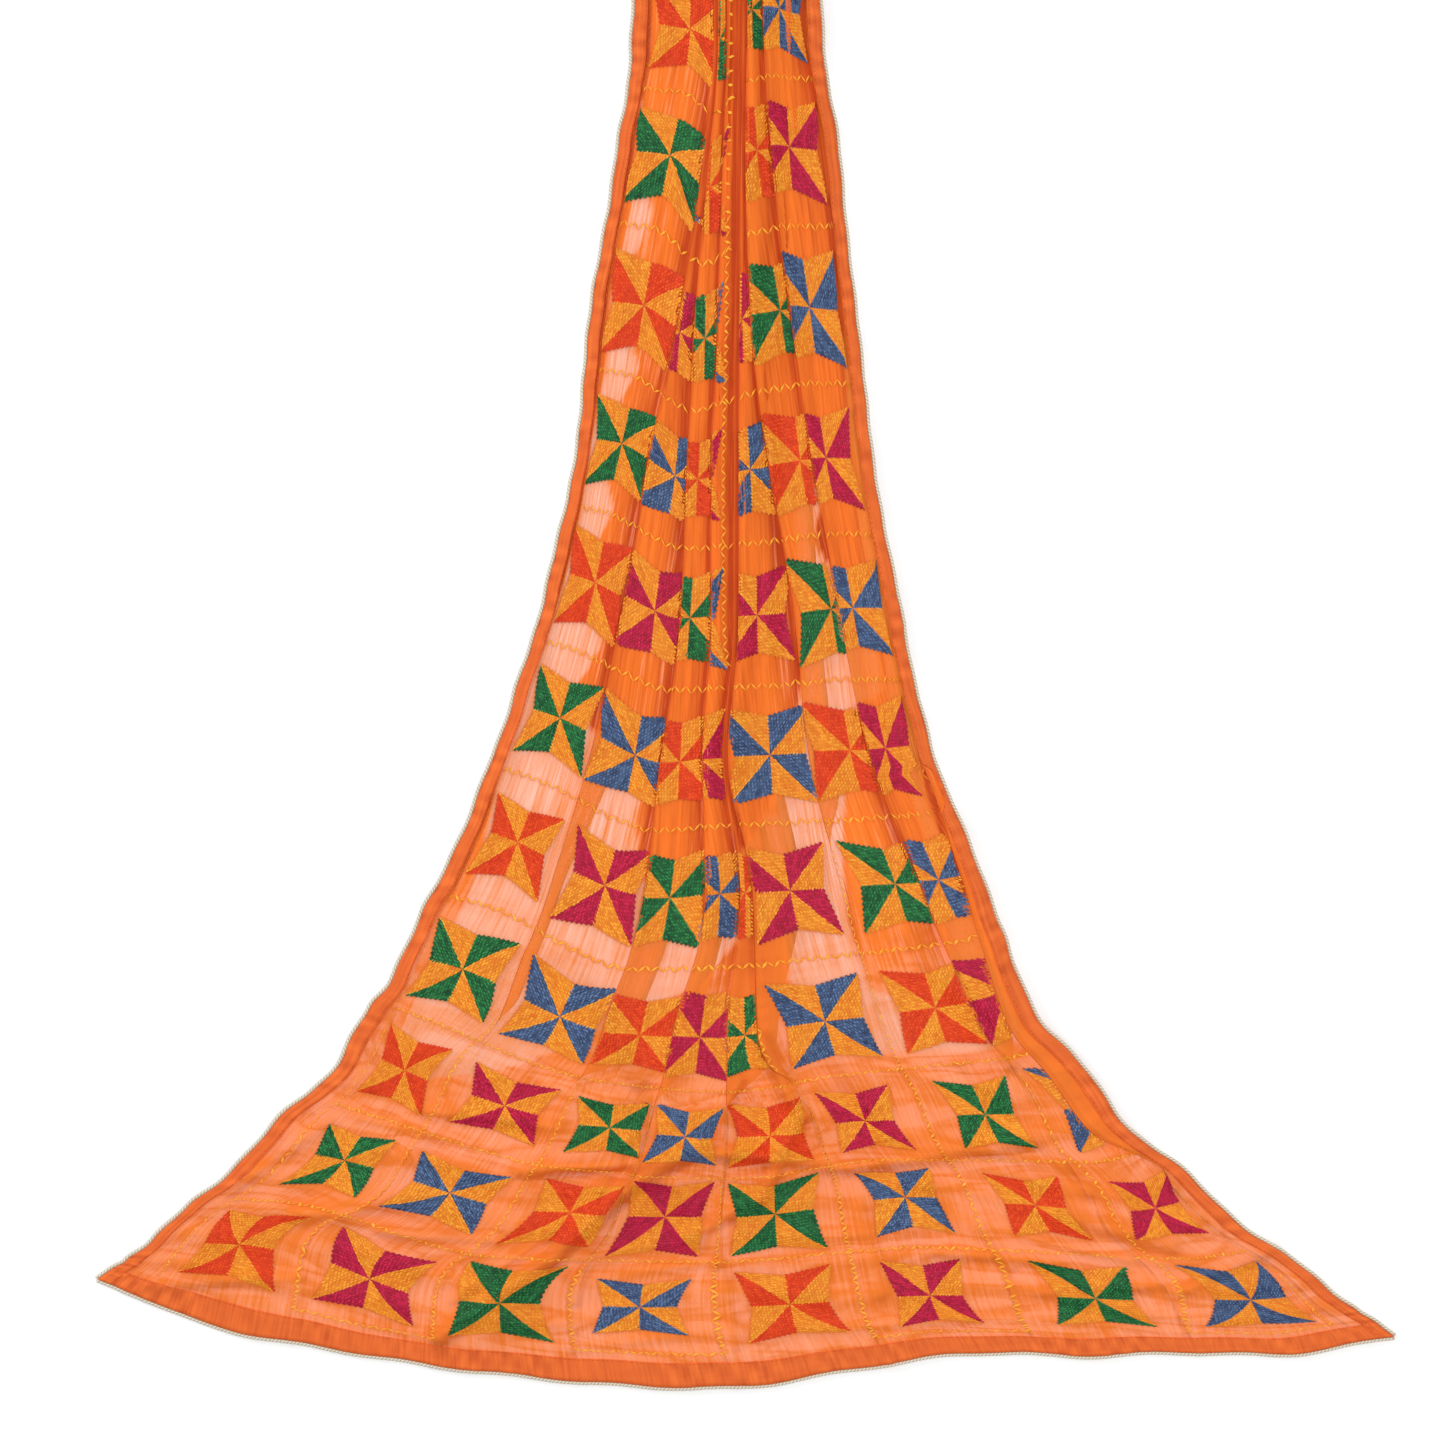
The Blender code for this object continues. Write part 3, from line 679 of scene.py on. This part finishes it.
# Crinkle: the fine lengthwise lines of crepe chiffon, and its faint weave.
tree = bpy.data.node_groups.new("crinkle", "ShaderNodeTree")
crinkle_group = tree
for label, value in (("Fineness", 420.0), ("Weave", 1500.0)):
    socket = tree.interface.new_socket(label, in_out="INPUT", socket_type="NodeSocketFloat")
    socket.default_value = value
for label in ("Lines", "Wrinkles", "Height"):
    tree.interface.new_socket(label, in_out="OUTPUT", socket_type="NodeSocketFloat")
group_in = tree.nodes.new("NodeGroupInput")
group_out = tree.nodes.new("NodeGroupOutput")
flat = flat_place(tree)
split = new_node(tree, "SeparateXYZ", {0: flat})
stretched = new_node(tree, "CombineXYZ", {
    "X": worked_out(tree, "MULTIPLY", split.outputs["X"], group_in.outputs["Fineness"]),
    "Y": worked_out(tree, "MULTIPLY", split.outputs["Y"], 14.0)})
lines = new_node(tree, "TexNoise", {
    "Vector": stretched.outputs[0], "Scale": 1.0, "Detail": 3.0, "Roughness": 0.6})
weave = new_node(tree, "TexNoise", {
    "Vector": flat, "Scale": group_in.outputs["Weave"], "Detail": 1.0})
# Wrinkles run across the cloth where it bunches up on the floor. Their crests
# are thin lines, where the noise passes its middle value.
squashed = new_node(tree, "Mapping", {
    "Vector": flat, "Scale": (9.0, 30.0, 1.0), "Rotation": (0.0, 0.0, 0.25)})
wrinkles = new_node(tree, "TexNoise", {
    "Vector": squashed.outputs[0], "Scale": 1.0, "Detail": 4.0, "Roughness": 0.50,
    "Distortion": 0.7})
from_middle = worked_out(tree, "SUBTRACT", wrinkles.outputs["Fac"], 0.5)
crest = new_node(tree, "MapRange", {
    "Value": worked_out(tree, "ABSOLUTE", from_middle),
    "From Max": 0.10, "To Min": 1.0, "To Max": 0.0})
height = worked_out(tree, "MULTIPLY_ADD", weave.outputs["Fac"], 0.25, lines.outputs["Fac"])
feed(tree, group_out, {
    "Lines": lines.outputs["Fac"], "Wrinkles": crest.outputs["Result"], "Height": height})


def chiffon(name, colour, deep, sheer, bump):
    """Cloth that is drawn deeper in colour by its depth value: where it lies in folds and layers,
    and where shade is painted in folds, hollows and puckers. The sheer kind lets through what is
    below it, by its cover and its crinkle lines."""
    material, tree, shader = new_material(name, 0.75)
    crinkle = tree.nodes.new("ShaderNodeGroup")
    crinkle.node_tree = crinkle_group
    line_part = new_node(tree, "MapRange", {
        "Value": crinkle.outputs["Lines"], "From Min": 0.35, "From Max": 0.65,
        "To Min": -1.0})
    line_part.clamp = False
    streak = held(tree, "streak")
    streaks = worked_out(tree, "MULTIPLY", line_part.outputs["Result"], streak)
    # One minus the streaks' share is the wrinkles' share.
    share = worked_out(tree, "MULTIPLY_ADD", streak, -1.0, 1.0)
    wrinkle_part = worked_out(tree, "MULTIPLY", crinkle.outputs["Wrinkles"], share)
    depth = worked_out(tree, "MULTIPLY_ADD", wrinkle_part, 0.46, held(tree, "depth"))
    depth = worked_out(tree, "MULTIPLY_ADD", streaks, 0.22, depth, clamp=True)
    tint = blend(tree, depth, (*colour, 1.0), (*deep, 1.0))
    if sheer:
        tint = blend(tree, held(tree, "single"), tint, (0.82, 0.205, 0.028, 1.0))
        cover = worked_out(tree, "MULTIPLY_ADD", wrinkle_part, 0.23, held(tree, "cover"))
        cover = worked_out(tree, "MULTIPLY_ADD", streaks, 0.19, cover, clamp=True)
        feed(tree, shader, {"Alpha": cover})
    relief = new_node(tree, "Bump", {
        "Strength": bump, "Distance": 0.0008, "Height": crinkle.outputs["Height"]})
    feed(tree, shader, {
        "Base Color": tint, "Normal": relief.outputs["Normal"], "Specular IOR Level": 0.2})
    return material


panel_cloth = chiffon("chiffon", (0.98, 0.205, 0.020), (0.50, 0.050, 0.004), True, 0.5)


def grid_faces(rows, columns):
    """Quads of a grid of points."""
    i, j = np.meshgrid(np.arange(rows - 1), np.arange(columns - 1), indexing="ij")
    a = (i * columns + j).ravel()
    return np.stack([a, a + 1, a + 1 + columns, a + columns], axis=1)


panel_points = np.stack([GRID_X, GRID_Y, GRID_Z], axis=-1).reshape(-1, 3)
panel_uv = np.stack(
    [GRID_U, np.repeat(ROWS_T[:, None], GRID_U.shape[1], axis=1)], axis=-1).reshape(-1, 2)
panel_faces = grid_faces(*GRID_X.shape)
# Faces without any area lie where a pleat has run out, and are left out.
a, b, c, d = (panel_points[panel_faces[:, k]] for k in range(4))
area = np.linalg.norm(np.cross(b - a, c - a), axis=1)
area = area + np.linalg.norm(np.cross(c - a, d - a), axis=1)
panel_faces = panel_faces[area > 1e-9]
panel = mesh_piece("panel_sheet", panel_points, panel_faces.tolist(), panel_cloth, panel_uv)
for attribute, values in zip(("cover", "depth", "streak", "single"), GRID[5:]):
    hold(panel, attribute, values)
# Light goes through the sheer cloth to what it lies on.
panel.visible_shadow = False
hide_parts("panel")
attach(panel, "root")

# Hems: the panel's edge turned over twice and sewn down, so it is three
# layers thick and looks denser. Each is a closed flat band.
HEM_TOP = 0.0007
HEM_UNDER = -0.0004
PUCKER = 0.00028
hem_cloth = chiffon("hem_chiffon", (0.92, 0.185, 0.034), (0.52, 0.065, 0.012), False, 0.6)


def band(name, u_grid, t_grid, node):
    """A closed band of turned cloth over a grid of flat-cloth places."""
    rows, columns = u_grid.shape
    at_side = node in ("hem_left", "hem_right")
    run, cross = (t_grid, u_grid) if at_side else (u_grid, t_grid)
    # The sewing draws the hem together into small slanting puckers.
    pucker = (
        np.sin(2 * np.pi * (run / 0.0191 + cross / 0.043) + 2.6 * np.sin(run / 0.029))
        + 0.7 * np.sin(2 * np.pi * (run / 0.0117 - cross / 0.036) + 1.9 * np.sin(run / 0.047)))
    pucker *= 0.55 + 0.45 * np.sin(run / 0.021 + 1.2 * np.sin(run / 0.013))
    above, _ = lay(u_grid, t_grid, HEM_TOP + PUCKER * pucker)
    under, _ = lay(u_grid, t_grid, HEM_UNDER)
    points = np.concatenate([above.reshape(-1, 3), under.reshape(-1, 3)])
    count = rows * columns
    top = grid_faces(rows, columns)
    bottom = top[:, ::-1] + count
    number = np.arange(count).reshape(rows, columns)
    rim = np.concatenate([number[0], number[1:, -1], number[-1, -2::-1], number[-2:0:-1, 0]])
    after = np.roll(rim, -1)
    sides = np.stack([after, rim, rim + count, after + count], axis=1)
    uv = np.stack([u_grid, t_grid], axis=-1).reshape(-1, 2)
    piece = mesh_piece(
        name, points, np.concatenate([top, bottom, sides]).tolist(), hem_cloth,
        np.concatenate([uv, uv]))
    # Painted shade: the hem's top is drawn deeper overall, deeper still in the hollows of its
    # puckers and lighter on their crests.
    shade = np.concatenate([0.34 - 0.16 * pucker.ravel(), np.zeros(count)])
    hold(piece, "depth", np.clip(shade, 0, 1))
    hold(piece, "streak", np.full(2 * count, 0.8))
    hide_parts(node)
    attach(piece, "root")
    return piece


side_t = np.concatenate([np.linspace(0.0, 1.21, 480)[:-1], np.linspace(1.21, LENGTH, 180)])
hem_places = (
    ("left", np.linspace(0.0, SIDE_HEM, 5), side_t),
    ("right", np.linspace(WIDTH - SIDE_HEM, WIDTH, 5), side_t),
    ("shown_end", np.linspace(0.0, WIDTH, 400), np.linspace(0.0, END_HEM, 7)),
    ("far_end", np.unique(np.round(GRID_U[-1], 5)), np.linspace(LENGTH - END_HEM, LENGTH, 5)),
)
hems = [
    band("turned_hem_" + name, *np.meshgrid(u, t), "hem_" + name) for name, u, t in hem_places]

# Piping: a thin ivory cord, twisted from cotton, sewn round the outer edge.
PIPING = 0.0020
ivory, tree, shader = new_material("ivory_cord", 0.8)
twist = new_node(tree, "TexWave", {
    "Vector": flat_place(tree), "Scale": 1.0, "Distortion": 1.2, "Detail": 1.0})
twist.wave_type = "BANDS"
twist.bands_direction = "DIAGONAL"
cord_relief = new_node(tree, "Bump", {
    "Strength": 0.6, "Distance": 0.0004, "Height": twist.outputs["Fac"]})
# Painted shade: the cord is drawn darker in the grooves of its twist, where its bump is low, and
# lighter on the strands.
feed(tree, shader, {
    "Base Color": blend(
        tree, twist.outputs["Fac"], (0.50, 0.40, 0.27, 1.0), (0.80, 0.73, 0.60, 1.0)),
    "Normal": cord_relief.outputs["Normal"],
})


def cord(name, path, out, node):
    """A cord along the cloth's edge, moved out by its own radius."""
    ahead = np.gradient(path, axis=0)
    ahead[:, 2] = 0.0
    ahead /= np.linalg.norm(ahead, axis=1)[:, None]
    aside = np.stack([-ahead[:, 1], ahead[:, 0], np.zeros(len(ahead))], axis=1)
    centre = path + aside * out
    sides = 8
    angle = 2 * np.pi * np.arange(sides) / sides
    out_to = 0.5 * PIPING * np.cos(angle)[:, None]
    up_to = 0.5 * PIPING * np.sin(angle)[:, None]
    rings = centre[:, None] + out_to * aside[:, None] + up_to * np.array([0.0, 0.0, 1.0])
    count = len(path)
    points = np.concatenate([rings.reshape(-1, 3), centre[:1], centre[-1:]])
    i, j = np.meshgrid(np.arange(count - 1), np.arange(sides), indexing="ij")
    a = (i * sides + j).ravel()
    b = (i * sides + (j + 1) % sides).ravel()
    faces = np.stack([a, b, b + sides, a + sides], axis=1).tolist()
    first, last = count * sides, count * sides + 1
    for k in range(sides):
        m = (k + 1) % sides
        faces.append([first, m, k])
        faces.append([last, (count - 1) * sides + k, (count - 1) * sides + m])
    run = np.concatenate([[0.0], np.cumsum(np.linalg.norm(np.diff(path, axis=0), axis=1))])
    uv = np.stack(
        [np.repeat(run / 0.004, sides), np.tile(np.arange(sides) / sides, count)], axis=1)
    uv = np.concatenate([uv, uv[:1], uv[-1:]])
    piece = mesh_piece(name, points, faces, ivory, uv)
    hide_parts(node)
    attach(piece, "root")
    return piece


def edge_path(u, t):
    """The cloth's outer edge, with the cord half sunk to the floor."""
    path, _ = lay(u, t)
    path[:, 2] = np.maximum(path[:, 2], 0.5 * PIPING)
    return path


cord_t = np.linspace(0.0, LENGTH, 560)
cord_u = np.linspace(0.0, WIDTH, 230)
out = 0.5 * PIPING + 0.0002
cords = [
    cord("cord_left", edge_path(0.0 * cord_t, cord_t), out, "piping_left"),
    cord("cord_right", edge_path(WIDTH + 0.0 * cord_t, cord_t), -out, "piping_right"),
    cord("cord_shown_end", edge_path(cord_u, 0.0 * cord_u), -out, "piping_shown_end"),
]
far_section = Section(LENGTH)
far_x = np.linspace(far_section.left, far_section.right, 90)
far_path = np.stack([far_x, far_section.row_height(far_x), np.full(90, 0.5 * PIPING)], axis=1)
cords.append(cord("cord_far_end", far_path, out, "piping_far_end"))

# Thread: every stitch is a small raised lozenge of floss on the cloth. The
# same stitch makes the squares, the zigzag lines and the hem's sewing.
rng = np.random.default_rng(41)


def thread(name, colour, deep):
    """Silky floss: each stitch has its own tone, with painted shade and a painted highlight,
    along the thread.
    """
    material, tree, shader = new_material(name, 0.55)
    tint = blend(tree, held(tree, "shade"), (*deep, 1.0), (*colour, 1.0))
    feed(tree, shader, {"Base Color": tint, "Specular IOR Level": 0.15})
    return material


# A stitch or a face that is drawn out further than this would be torn across a
# fold edge, and is left out.
TORN_ALONG = 1.3
TORN_ACROSS = 2.0
TORN_FACE = 2.2


def flat_length(steps):
    """How long steps over the floor are, seen from above."""
    return np.hypot(steps[..., 0], steps[..., 1])


def stitches(name, found, length, width, material, low=0.0008, rise=0.0017):
    """Stitches at the flat-cloth places and angles found, joined into one
    piece. Their rims lie as high as low and their middles as high as rise."""
    _, shows = lay(found[:, 0], found[:, 1])
    u, t, angle = found[shows, 0], found[shows, 1], found[shows, 2]
    length = np.broadcast_to(length, shows.shape)[shows]
    width = np.broadcast_to(width, shows.shape)[shows]
    cos, sin = np.cos(angle), np.sin(angle)
    points = []
    for along, side, lift in (
        (0.5, 0.0, low), (0.0, 0.5, low), (-0.5, 0.0, low), (0.0, -0.5, low), (0.0, 0.0, rise),
    ):
        pu = u + along * length * cos - side * width * sin
        pt = t + along * length * sin + side * width * cos
        place, _ = lay(pu, pt, lift)
        points.append(place)
    points = np.stack(points, axis=1)
    spread = flat_length(points[:, 0] - points[:, 2])
    across = flat_length(points[:, 1] - points[:, 3])
    keep = (spread < TORN_ALONG * length) & (across < TORN_ACROSS * width)
    points = points[keep]
    count = len(points)
    base = 5 * np.arange(count)[:, None]
    corners = np.array([[0, 1, 4], [1, 2, 4], [2, 3, 4], [3, 0, 4]])
    faces = (base[:, :, None] + corners[None]).reshape(-1, 3)
    piece = mesh_piece(name, points.reshape(-1, 3), faces.tolist(), material)
    # Each stitch gets a random tone, painted shade on its rims and a painted highlight on its
    # raised middle.
    level = rng.normal(0.66, 0.24, count)
    values = np.repeat(level[:, None], 5, axis=1)
    values[:, :4] -= 0.38
    values[:, 4] += 0.22
    hold(piece, "shade", np.clip(values, 0, 1))
    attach(piece, "root")


# Pinwheel squares: eight wedges round the middle of each grid square, in
# golden floss and one more colour by turns. The colours go round four by
# four along a row, and every second row starts two colours further on.
MOTIF_HALF = 0.0365
MOTIF_PULL = 0.0082
# Each floss as its bright and its deep colour, which stand for lit and shaded floss.
FLOSS = {
    "gold": ((1.00, 0.47, 0.045), (0.70, 0.155, 0.010)),
    "red": ((0.94, 0.105, 0.016), (0.58, 0.030, 0.006)),
    "magenta": ((0.78, 0.024, 0.100), (0.30, 0.006, 0.026)),
    "green": ((0.040, 0.30, 0.085), (0.005, 0.048, 0.016)),
    "blue": ((0.145, 0.24, 0.44), (0.022, 0.036, 0.090)),
}
TURN = ("red", "magenta", "green", "blue")
# A stitch's length and width, and the teeth that stitches make on the rim.
STITCH = (0.0040, 0.0017)
TEETH = 9
TOOTH = 0.0016
# Rows beyond this aren't in the main view, and are worked more coarsely.
LAST_NEAR_ROW = 11
FAR_TEETH = 5
FAR_STITCH = 1.6
GROUND_LIFT = 0.0008
# From one row of stitches to the next, and from stitch to stitch.
NEAR_GAPS = (0.0019, 0.0034)
FAR_GAPS = (0.0030, 0.0056)


def wedges():
    """The eight wedges of a square: middle-to-rim corners and their number."""
    half = MOTIF_HALF
    low = half - MOTIF_PULL
    ring = [(-half, half), (0.0, low), (half, half), (low, 0.0),
            (half, -half), (0.0, -low), (-half, -half), (-low, 0.0)]
    for k in range(8):
        yield k, np.array(ring[k]), np.array(ring[(k + 1) % 8])


def wedge_places(first_is_gold, row_gap, stitch_gap):
    """Stitch places in one square: for gold and for the second colour."""
    found = {True: [], False: []}
    for k, a, b in wedges():
        corner = a if k % 2 == 0 else b
        gold = (k % 2 == 0) == first_is_gold
        along = corner / np.linalg.norm(corner)
        side = np.array([-along[1], along[0]])
        reach = np.linalg.norm(corner) + 0.002
        for number, offset in enumerate(np.arange(-reach, reach, row_gap)):
            # Every second row of stitches starts half a stitch later.
            start = -reach + (0.0 if number % 2 else 0.5 * stitch_gap)
            for step in np.arange(start, reach, stitch_gap):
                place = along * step + side * offset
                m = np.linalg.solve(np.stack([a, b], axis=1), place)
                if m[0] >= -0.005 and m[1] >= -0.005 and m[0] + m[1] <= 0.985:
                    found[gold].append((*place, np.arctan2(along[1], along[0])))
    return {key: np.array(value) for key, value in found.items()}


def wedge_patch(a, b, steps):
    """A wedge as a fine triangle grid whose outer edge has sewn teeth."""
    points = []
    faces = []
    for i in range(steps + 1):
        first = i * (i + 1) // 2
        below = first + i + 1
        for j in range(i + 1):
            share = j / i if i else 0.0
            points.append((a + (b - a) * share) * (i / steps))
            if i < steps:
                faces.append((first + j, below + j, below + j + 1))
                if j < i:
                    faces.append((first + j, below + j + 1, first + j + 1))
    edge = (b - a) / np.linalg.norm(b - a)
    out = np.array([edge[1], -edge[0]])
    if np.dot(out, a + b) < 0:
        out = -out
    for j in range(first, first + steps):
        points.append(0.5 * (points[j] + points[j + 1]) + out * TOOTH)
        faces.append((j, len(points) - 1, j + 1))
    return np.array(points), np.array(faces)


# How the wrinkles near the shown end draw the squares up or pull them wide:
# width and height of each square, next to a flat one, column by column.
DRAWN = (
    ((1.00, 1.10), (1.05, 0.95), (1.05, 1.15), (0.92, 0.76),
     (1.00, 0.95), (0.82, 1.06), (1.04, 1.15), (1.10, 1.12)),
    ((0.95, 0.82), (0.96, 0.78), (1.00, 0.96), (0.92, 1.12),
     (1.00, 1.10), (0.82, 1.00), (0.76, 0.80), (1.20, 0.84)),
    ((1.00, 0.90), (0.93, 0.72), (1.05, 0.82), (0.92, 0.86),
     (0.95, 0.92), (0.80, 0.92), (0.80, 0.88), (1.00, 1.00)),
    ((0.95, 0.92), (0.95, 0.92), (0.95, 0.95), (0.95, 0.95),
     (0.95, 0.95), (0.95, 0.92), (0.95, 0.92), (1.00, 0.95)),
    ((0.88, 0.85), (0.84, 0.93), (0.92, 1.10), (1.00, 1.00),
     (0.92, 1.08), (0.95, 1.00), (1.00, 1.00), (1.00, 1.00)),
)
near_places = {kind: wedge_places(kind, *NEAR_GAPS) for kind in (True, False)}
far_places = {kind: wedge_places(kind, *FAR_GAPS) for kind in (True, False)}
floss_places = {name: [] for name in FLOSS}
patches = {name: [] for name in FLOSS}
for row in range(ROWS):
    for column in range(COLUMNS):
        second = TURN[(column + 2 * (row % 2)) % 4]
        straight = column in (0, 1, 4, 5)
        far = row > LAST_NEAR_ROW
        places = (far_places if far else near_places)[straight]
        u_middle = SIDE_MARGIN + CELL * (column + 0.5)
        t_middle = END_MARGIN + CELL * (row + 0.5)
        # Each square is worked by hand, so none is quite true.
        turn = np.eye(2) * rng.normal(1.0, 0.03) + rng.normal(0, 0.035, (2, 2))
        if row < len(DRAWN):
            turn = turn @ np.diag(DRAWN[row][column])
        for k, a, b in wedges():
            gold = (k % 2 == 0) == straight
            local, faces = wedge_patch(a, b, FAR_TEETH if far else TEETH)
            u, t = (local @ turn).T + [[u_middle], [t_middle]]
            patches["gold" if gold else second].append((u, t, faces))
        for gold in (True, False):
            local = places[gold]
            u, t = (local[:, :2] @ turn).T + [[u_middle], [t_middle]]
            u = u + rng.normal(0, 0.00025, len(local))
            t = t + rng.normal(0, 0.00025, len(local))
            angle = local[:, 2] + rng.normal(0.20, 0.11, len(local))
            size = np.full(len(local), FAR_STITCH if far else 1.0)
            floss_places["gold" if gold else second].append(
                np.stack([u, t, angle, size], axis=1))


def floss_ground(name, parts, material):
    """The close ground of floss under the raised stitches of one colour."""
    points, faces = [], []
    count = 0
    for u, t, part_faces in parts:
        place, shows = lay(u, t, GROUND_LIFT)
        corners = place[part_faces]
        longest = flat_length(corners - np.roll(corners, -1, axis=1)).max(axis=1)
        flat_a, flat_b = part_faces[:, 0], part_faces[:, 1]
        size = np.hypot(u[flat_a] - u[flat_b], t[flat_a] - t[flat_b])
        keep = shows[part_faces].all(axis=1) & (longest < TORN_FACE * size + 0.001)
        points.append(place)
        faces.append(part_faces[keep] + count)
        count += len(place)
    # Only the points that a face uses are kept.
    used, faces = np.unique(np.concatenate(faces), return_inverse=True)
    points = np.concatenate(points)[used]
    piece = mesh_piece(name, points, faces.reshape(-1, 3).tolist(), material)
    # The ground is drawn near the floss's deep colour: painted shade between the raised stitches,
    # with a random tone.
    hold(piece, "shade", np.clip(rng.normal(0.18, 0.12, len(used)), 0, 1))
    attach(piece, "root")


for name, (colour, deep) in FLOSS.items():
    found = np.concatenate(floss_places[name])
    size = found[:, 3] * rng.uniform(0.85, 1.15, len(found))
    floss = thread("floss_" + name, colour, deep)
    floss_ground("ground_" + name, patches[name], floss)
    stitches(
        "floss_" + name, found, STITCH[0] * size, STITCH[1] * found[:, 3], floss)

# Zigzag lines: golden feather stitch along every line of the grid, both ways.
# Along the shown end it runs only under every second column.
LEG = 0.0050
LEG_SWING = 0.0027
# The middle line leans to the strip that shows in the gathers.
LEAN = 0.0145
LEAN_FROM = 0.48
LEAN_TO = 0.62
# The floss lies looser in the fan, so the lines look bolder there.
LOOSE_UNTIL = 0.5
LINE_WIDTHS = (0.0022, 0.0017)


def zigzag(start, end):
    """Middles, angles and lengths of the legs of one zigzag line."""
    start = np.array(start)
    end = np.array(end)
    reach = np.linalg.norm(end - start)
    count = max(2, int(round(reach / LEG)))
    ahead = (end - start) / reach
    side = np.array([-ahead[1], ahead[0]])
    step = np.arange(count + 1) / count
    swing = LEG_SWING * np.where(np.arange(count + 1) % 2 == 0, 1.0, -1.0)
    swing = swing * rng.uniform(0.7, 1.2, count + 1)
    knots = start + np.outer(step * reach, ahead) + np.outer(swing, side)
    middle = 0.5 * (knots[1:] + knots[:-1])
    leg = knots[1:] - knots[:-1]
    return np.column_stack(
        [middle, np.arctan2(leg[:, 1], leg[:, 0]), np.linalg.norm(leg, axis=1)])


runs = []
for column in range(COLUMNS + 1):
    u = SIDE_MARGIN + CELL * column
    if column == 4:
        aside = u - LEAN
        runs.append(((u, END_MARGIN), (u, LEAN_FROM)))
        runs.append(((u, LEAN_FROM), (aside, LEAN_TO)))
        runs.append(((aside, LEAN_TO), (aside, LENGTH - END_MARGIN)))
    else:
        runs.append(((u, END_MARGIN), (u, LENGTH - END_MARGIN)))
for row in range(1, ROWS):
    t = END_MARGIN + CELL * row
    runs.append(((SIDE_MARGIN, t), (WIDTH - SIDE_MARGIN, t)))
for column in (1, 3, 5, 7):
    u = SIDE_MARGIN + CELL * column
    for t in (END_MARGIN, LENGTH - END_MARGIN):
        runs.append(((u, t), (u + CELL, t)))
found = np.concatenate([zigzag(start, end) for start, end in runs])
stitches(
    "zigzag_lines", found, found[:, 3] * 1.12, np.where(found[:, 1] < LOOSE_UNTIL, *LINE_WIDTHS),
    thread("floss_zigzag", (1.00, 0.49, 0.044), (0.88, 0.25, 0.016)), 0.0006, 0.0015)

# Hem sewing: a fine running stitch that holds each turned edge down.
SEWN_IN = 0.0015
SEWING_STEP = 0.0034
SEWING_END = 0.004
sewing = []
for u in (SIDE_HEM - SEWN_IN, WIDTH - SIDE_HEM + SEWN_IN):
    t = np.arange(SEWING_END, LENGTH - SEWING_END, SEWING_STEP)
    sewing.append(np.stack([np.full(len(t), u), t, np.full(len(t), 0.5 * np.pi)], axis=1))
for t in (END_HEM - SEWN_IN, LENGTH - END_HEM + SEWN_IN):
    u = np.arange(SEWING_END, WIDTH - SEWING_END, SEWING_STEP)
    sewing.append(np.stack([u, np.full(len(u), t), np.zeros(len(u))], axis=1))
stitches(
    "hem_sewing", np.concatenate(sewing), 0.0026, 0.0006,
    thread("hem_thread", (0.80, 0.12, 0.02), (0.50, 0.06, 0.01)), 0.0009, 0.0014)

# The floor: a plain pale surface under the shawl, not part of it.
pale, tree, shader = new_material("pale_floor", 0.9)
feed(tree, shader, {"Base Color": (0.99, 0.99, 0.99, 1.0), "Specular IOR Level": 0.1})
floor_corners = [(-6, -6), (6, -6), (6, 6), (-6, 6)]
floor = mesh_piece(
    "floor", np.array([(*corner, -0.0005) for corner in floor_corners]), [(0, 1, 2, 3)], pale)

# Light: a large soft box above and a weaker one from the upper left.
world = bpy.data.worlds.new("studio")
world.use_nodes = True
feed(world.node_tree, world.node_tree.nodes["Background"], {
    "Color": (1.0, 1.0, 1.0, 1.0), "Strength": 0.50})
bpy.context.scene.world = world

# Both lights are turned to this place.
AIM = (0.0, -0.6, 0.0)


def soft_box(name, place, size, power):
    """A square light that is turned to the aim."""
    light = bpy.data.lights.new(name, "AREA")
    light.shape = "SQUARE"
    light.size = size
    light.energy = power
    item = bpy.data.objects.new(name, light)
    item.location = place
    away = np.array(place) - np.array(AIM)
    flat = float(np.hypot(away[0], away[1]))
    item.rotation_euler = (
        float(np.arctan2(flat, away[2])), 0.0, float(np.arctan2(away[1], away[0]) + 0.5 * np.pi))
    bpy.context.scene.collection.objects.link(item)


soft_box("top_light", (0.7, -0.4, 3.2), 2.2, 62.0)
soft_box("side_light", (-2.2, 0.5, 0.9), 0.9, 24.0)

# The camera looks straight down on the shown part of the shawl.
SENSOR = 36.0
CAMERA_HEIGHT = 3.0
VIEW_SIDE = 1445.0
camera_data = bpy.data.cameras.new("camera")
camera_data.sensor_width = SENSOR
camera_data.lens = SENSOR * CAMERA_HEIGHT / (VIEW_SIDE * UNIT)
camera = bpy.data.objects.new("camera", camera_data)
camera.location = (metres_x(0.5 * VIEW_SIDE), metres_y(0.5 * VIEW_SIDE), CAMERA_HEIGHT)
bpy.context.scene.collection.objects.link(camera)
bpy.context.scene.camera = camera
bpy.context.scene.view_settings.view_transform = "Standard"
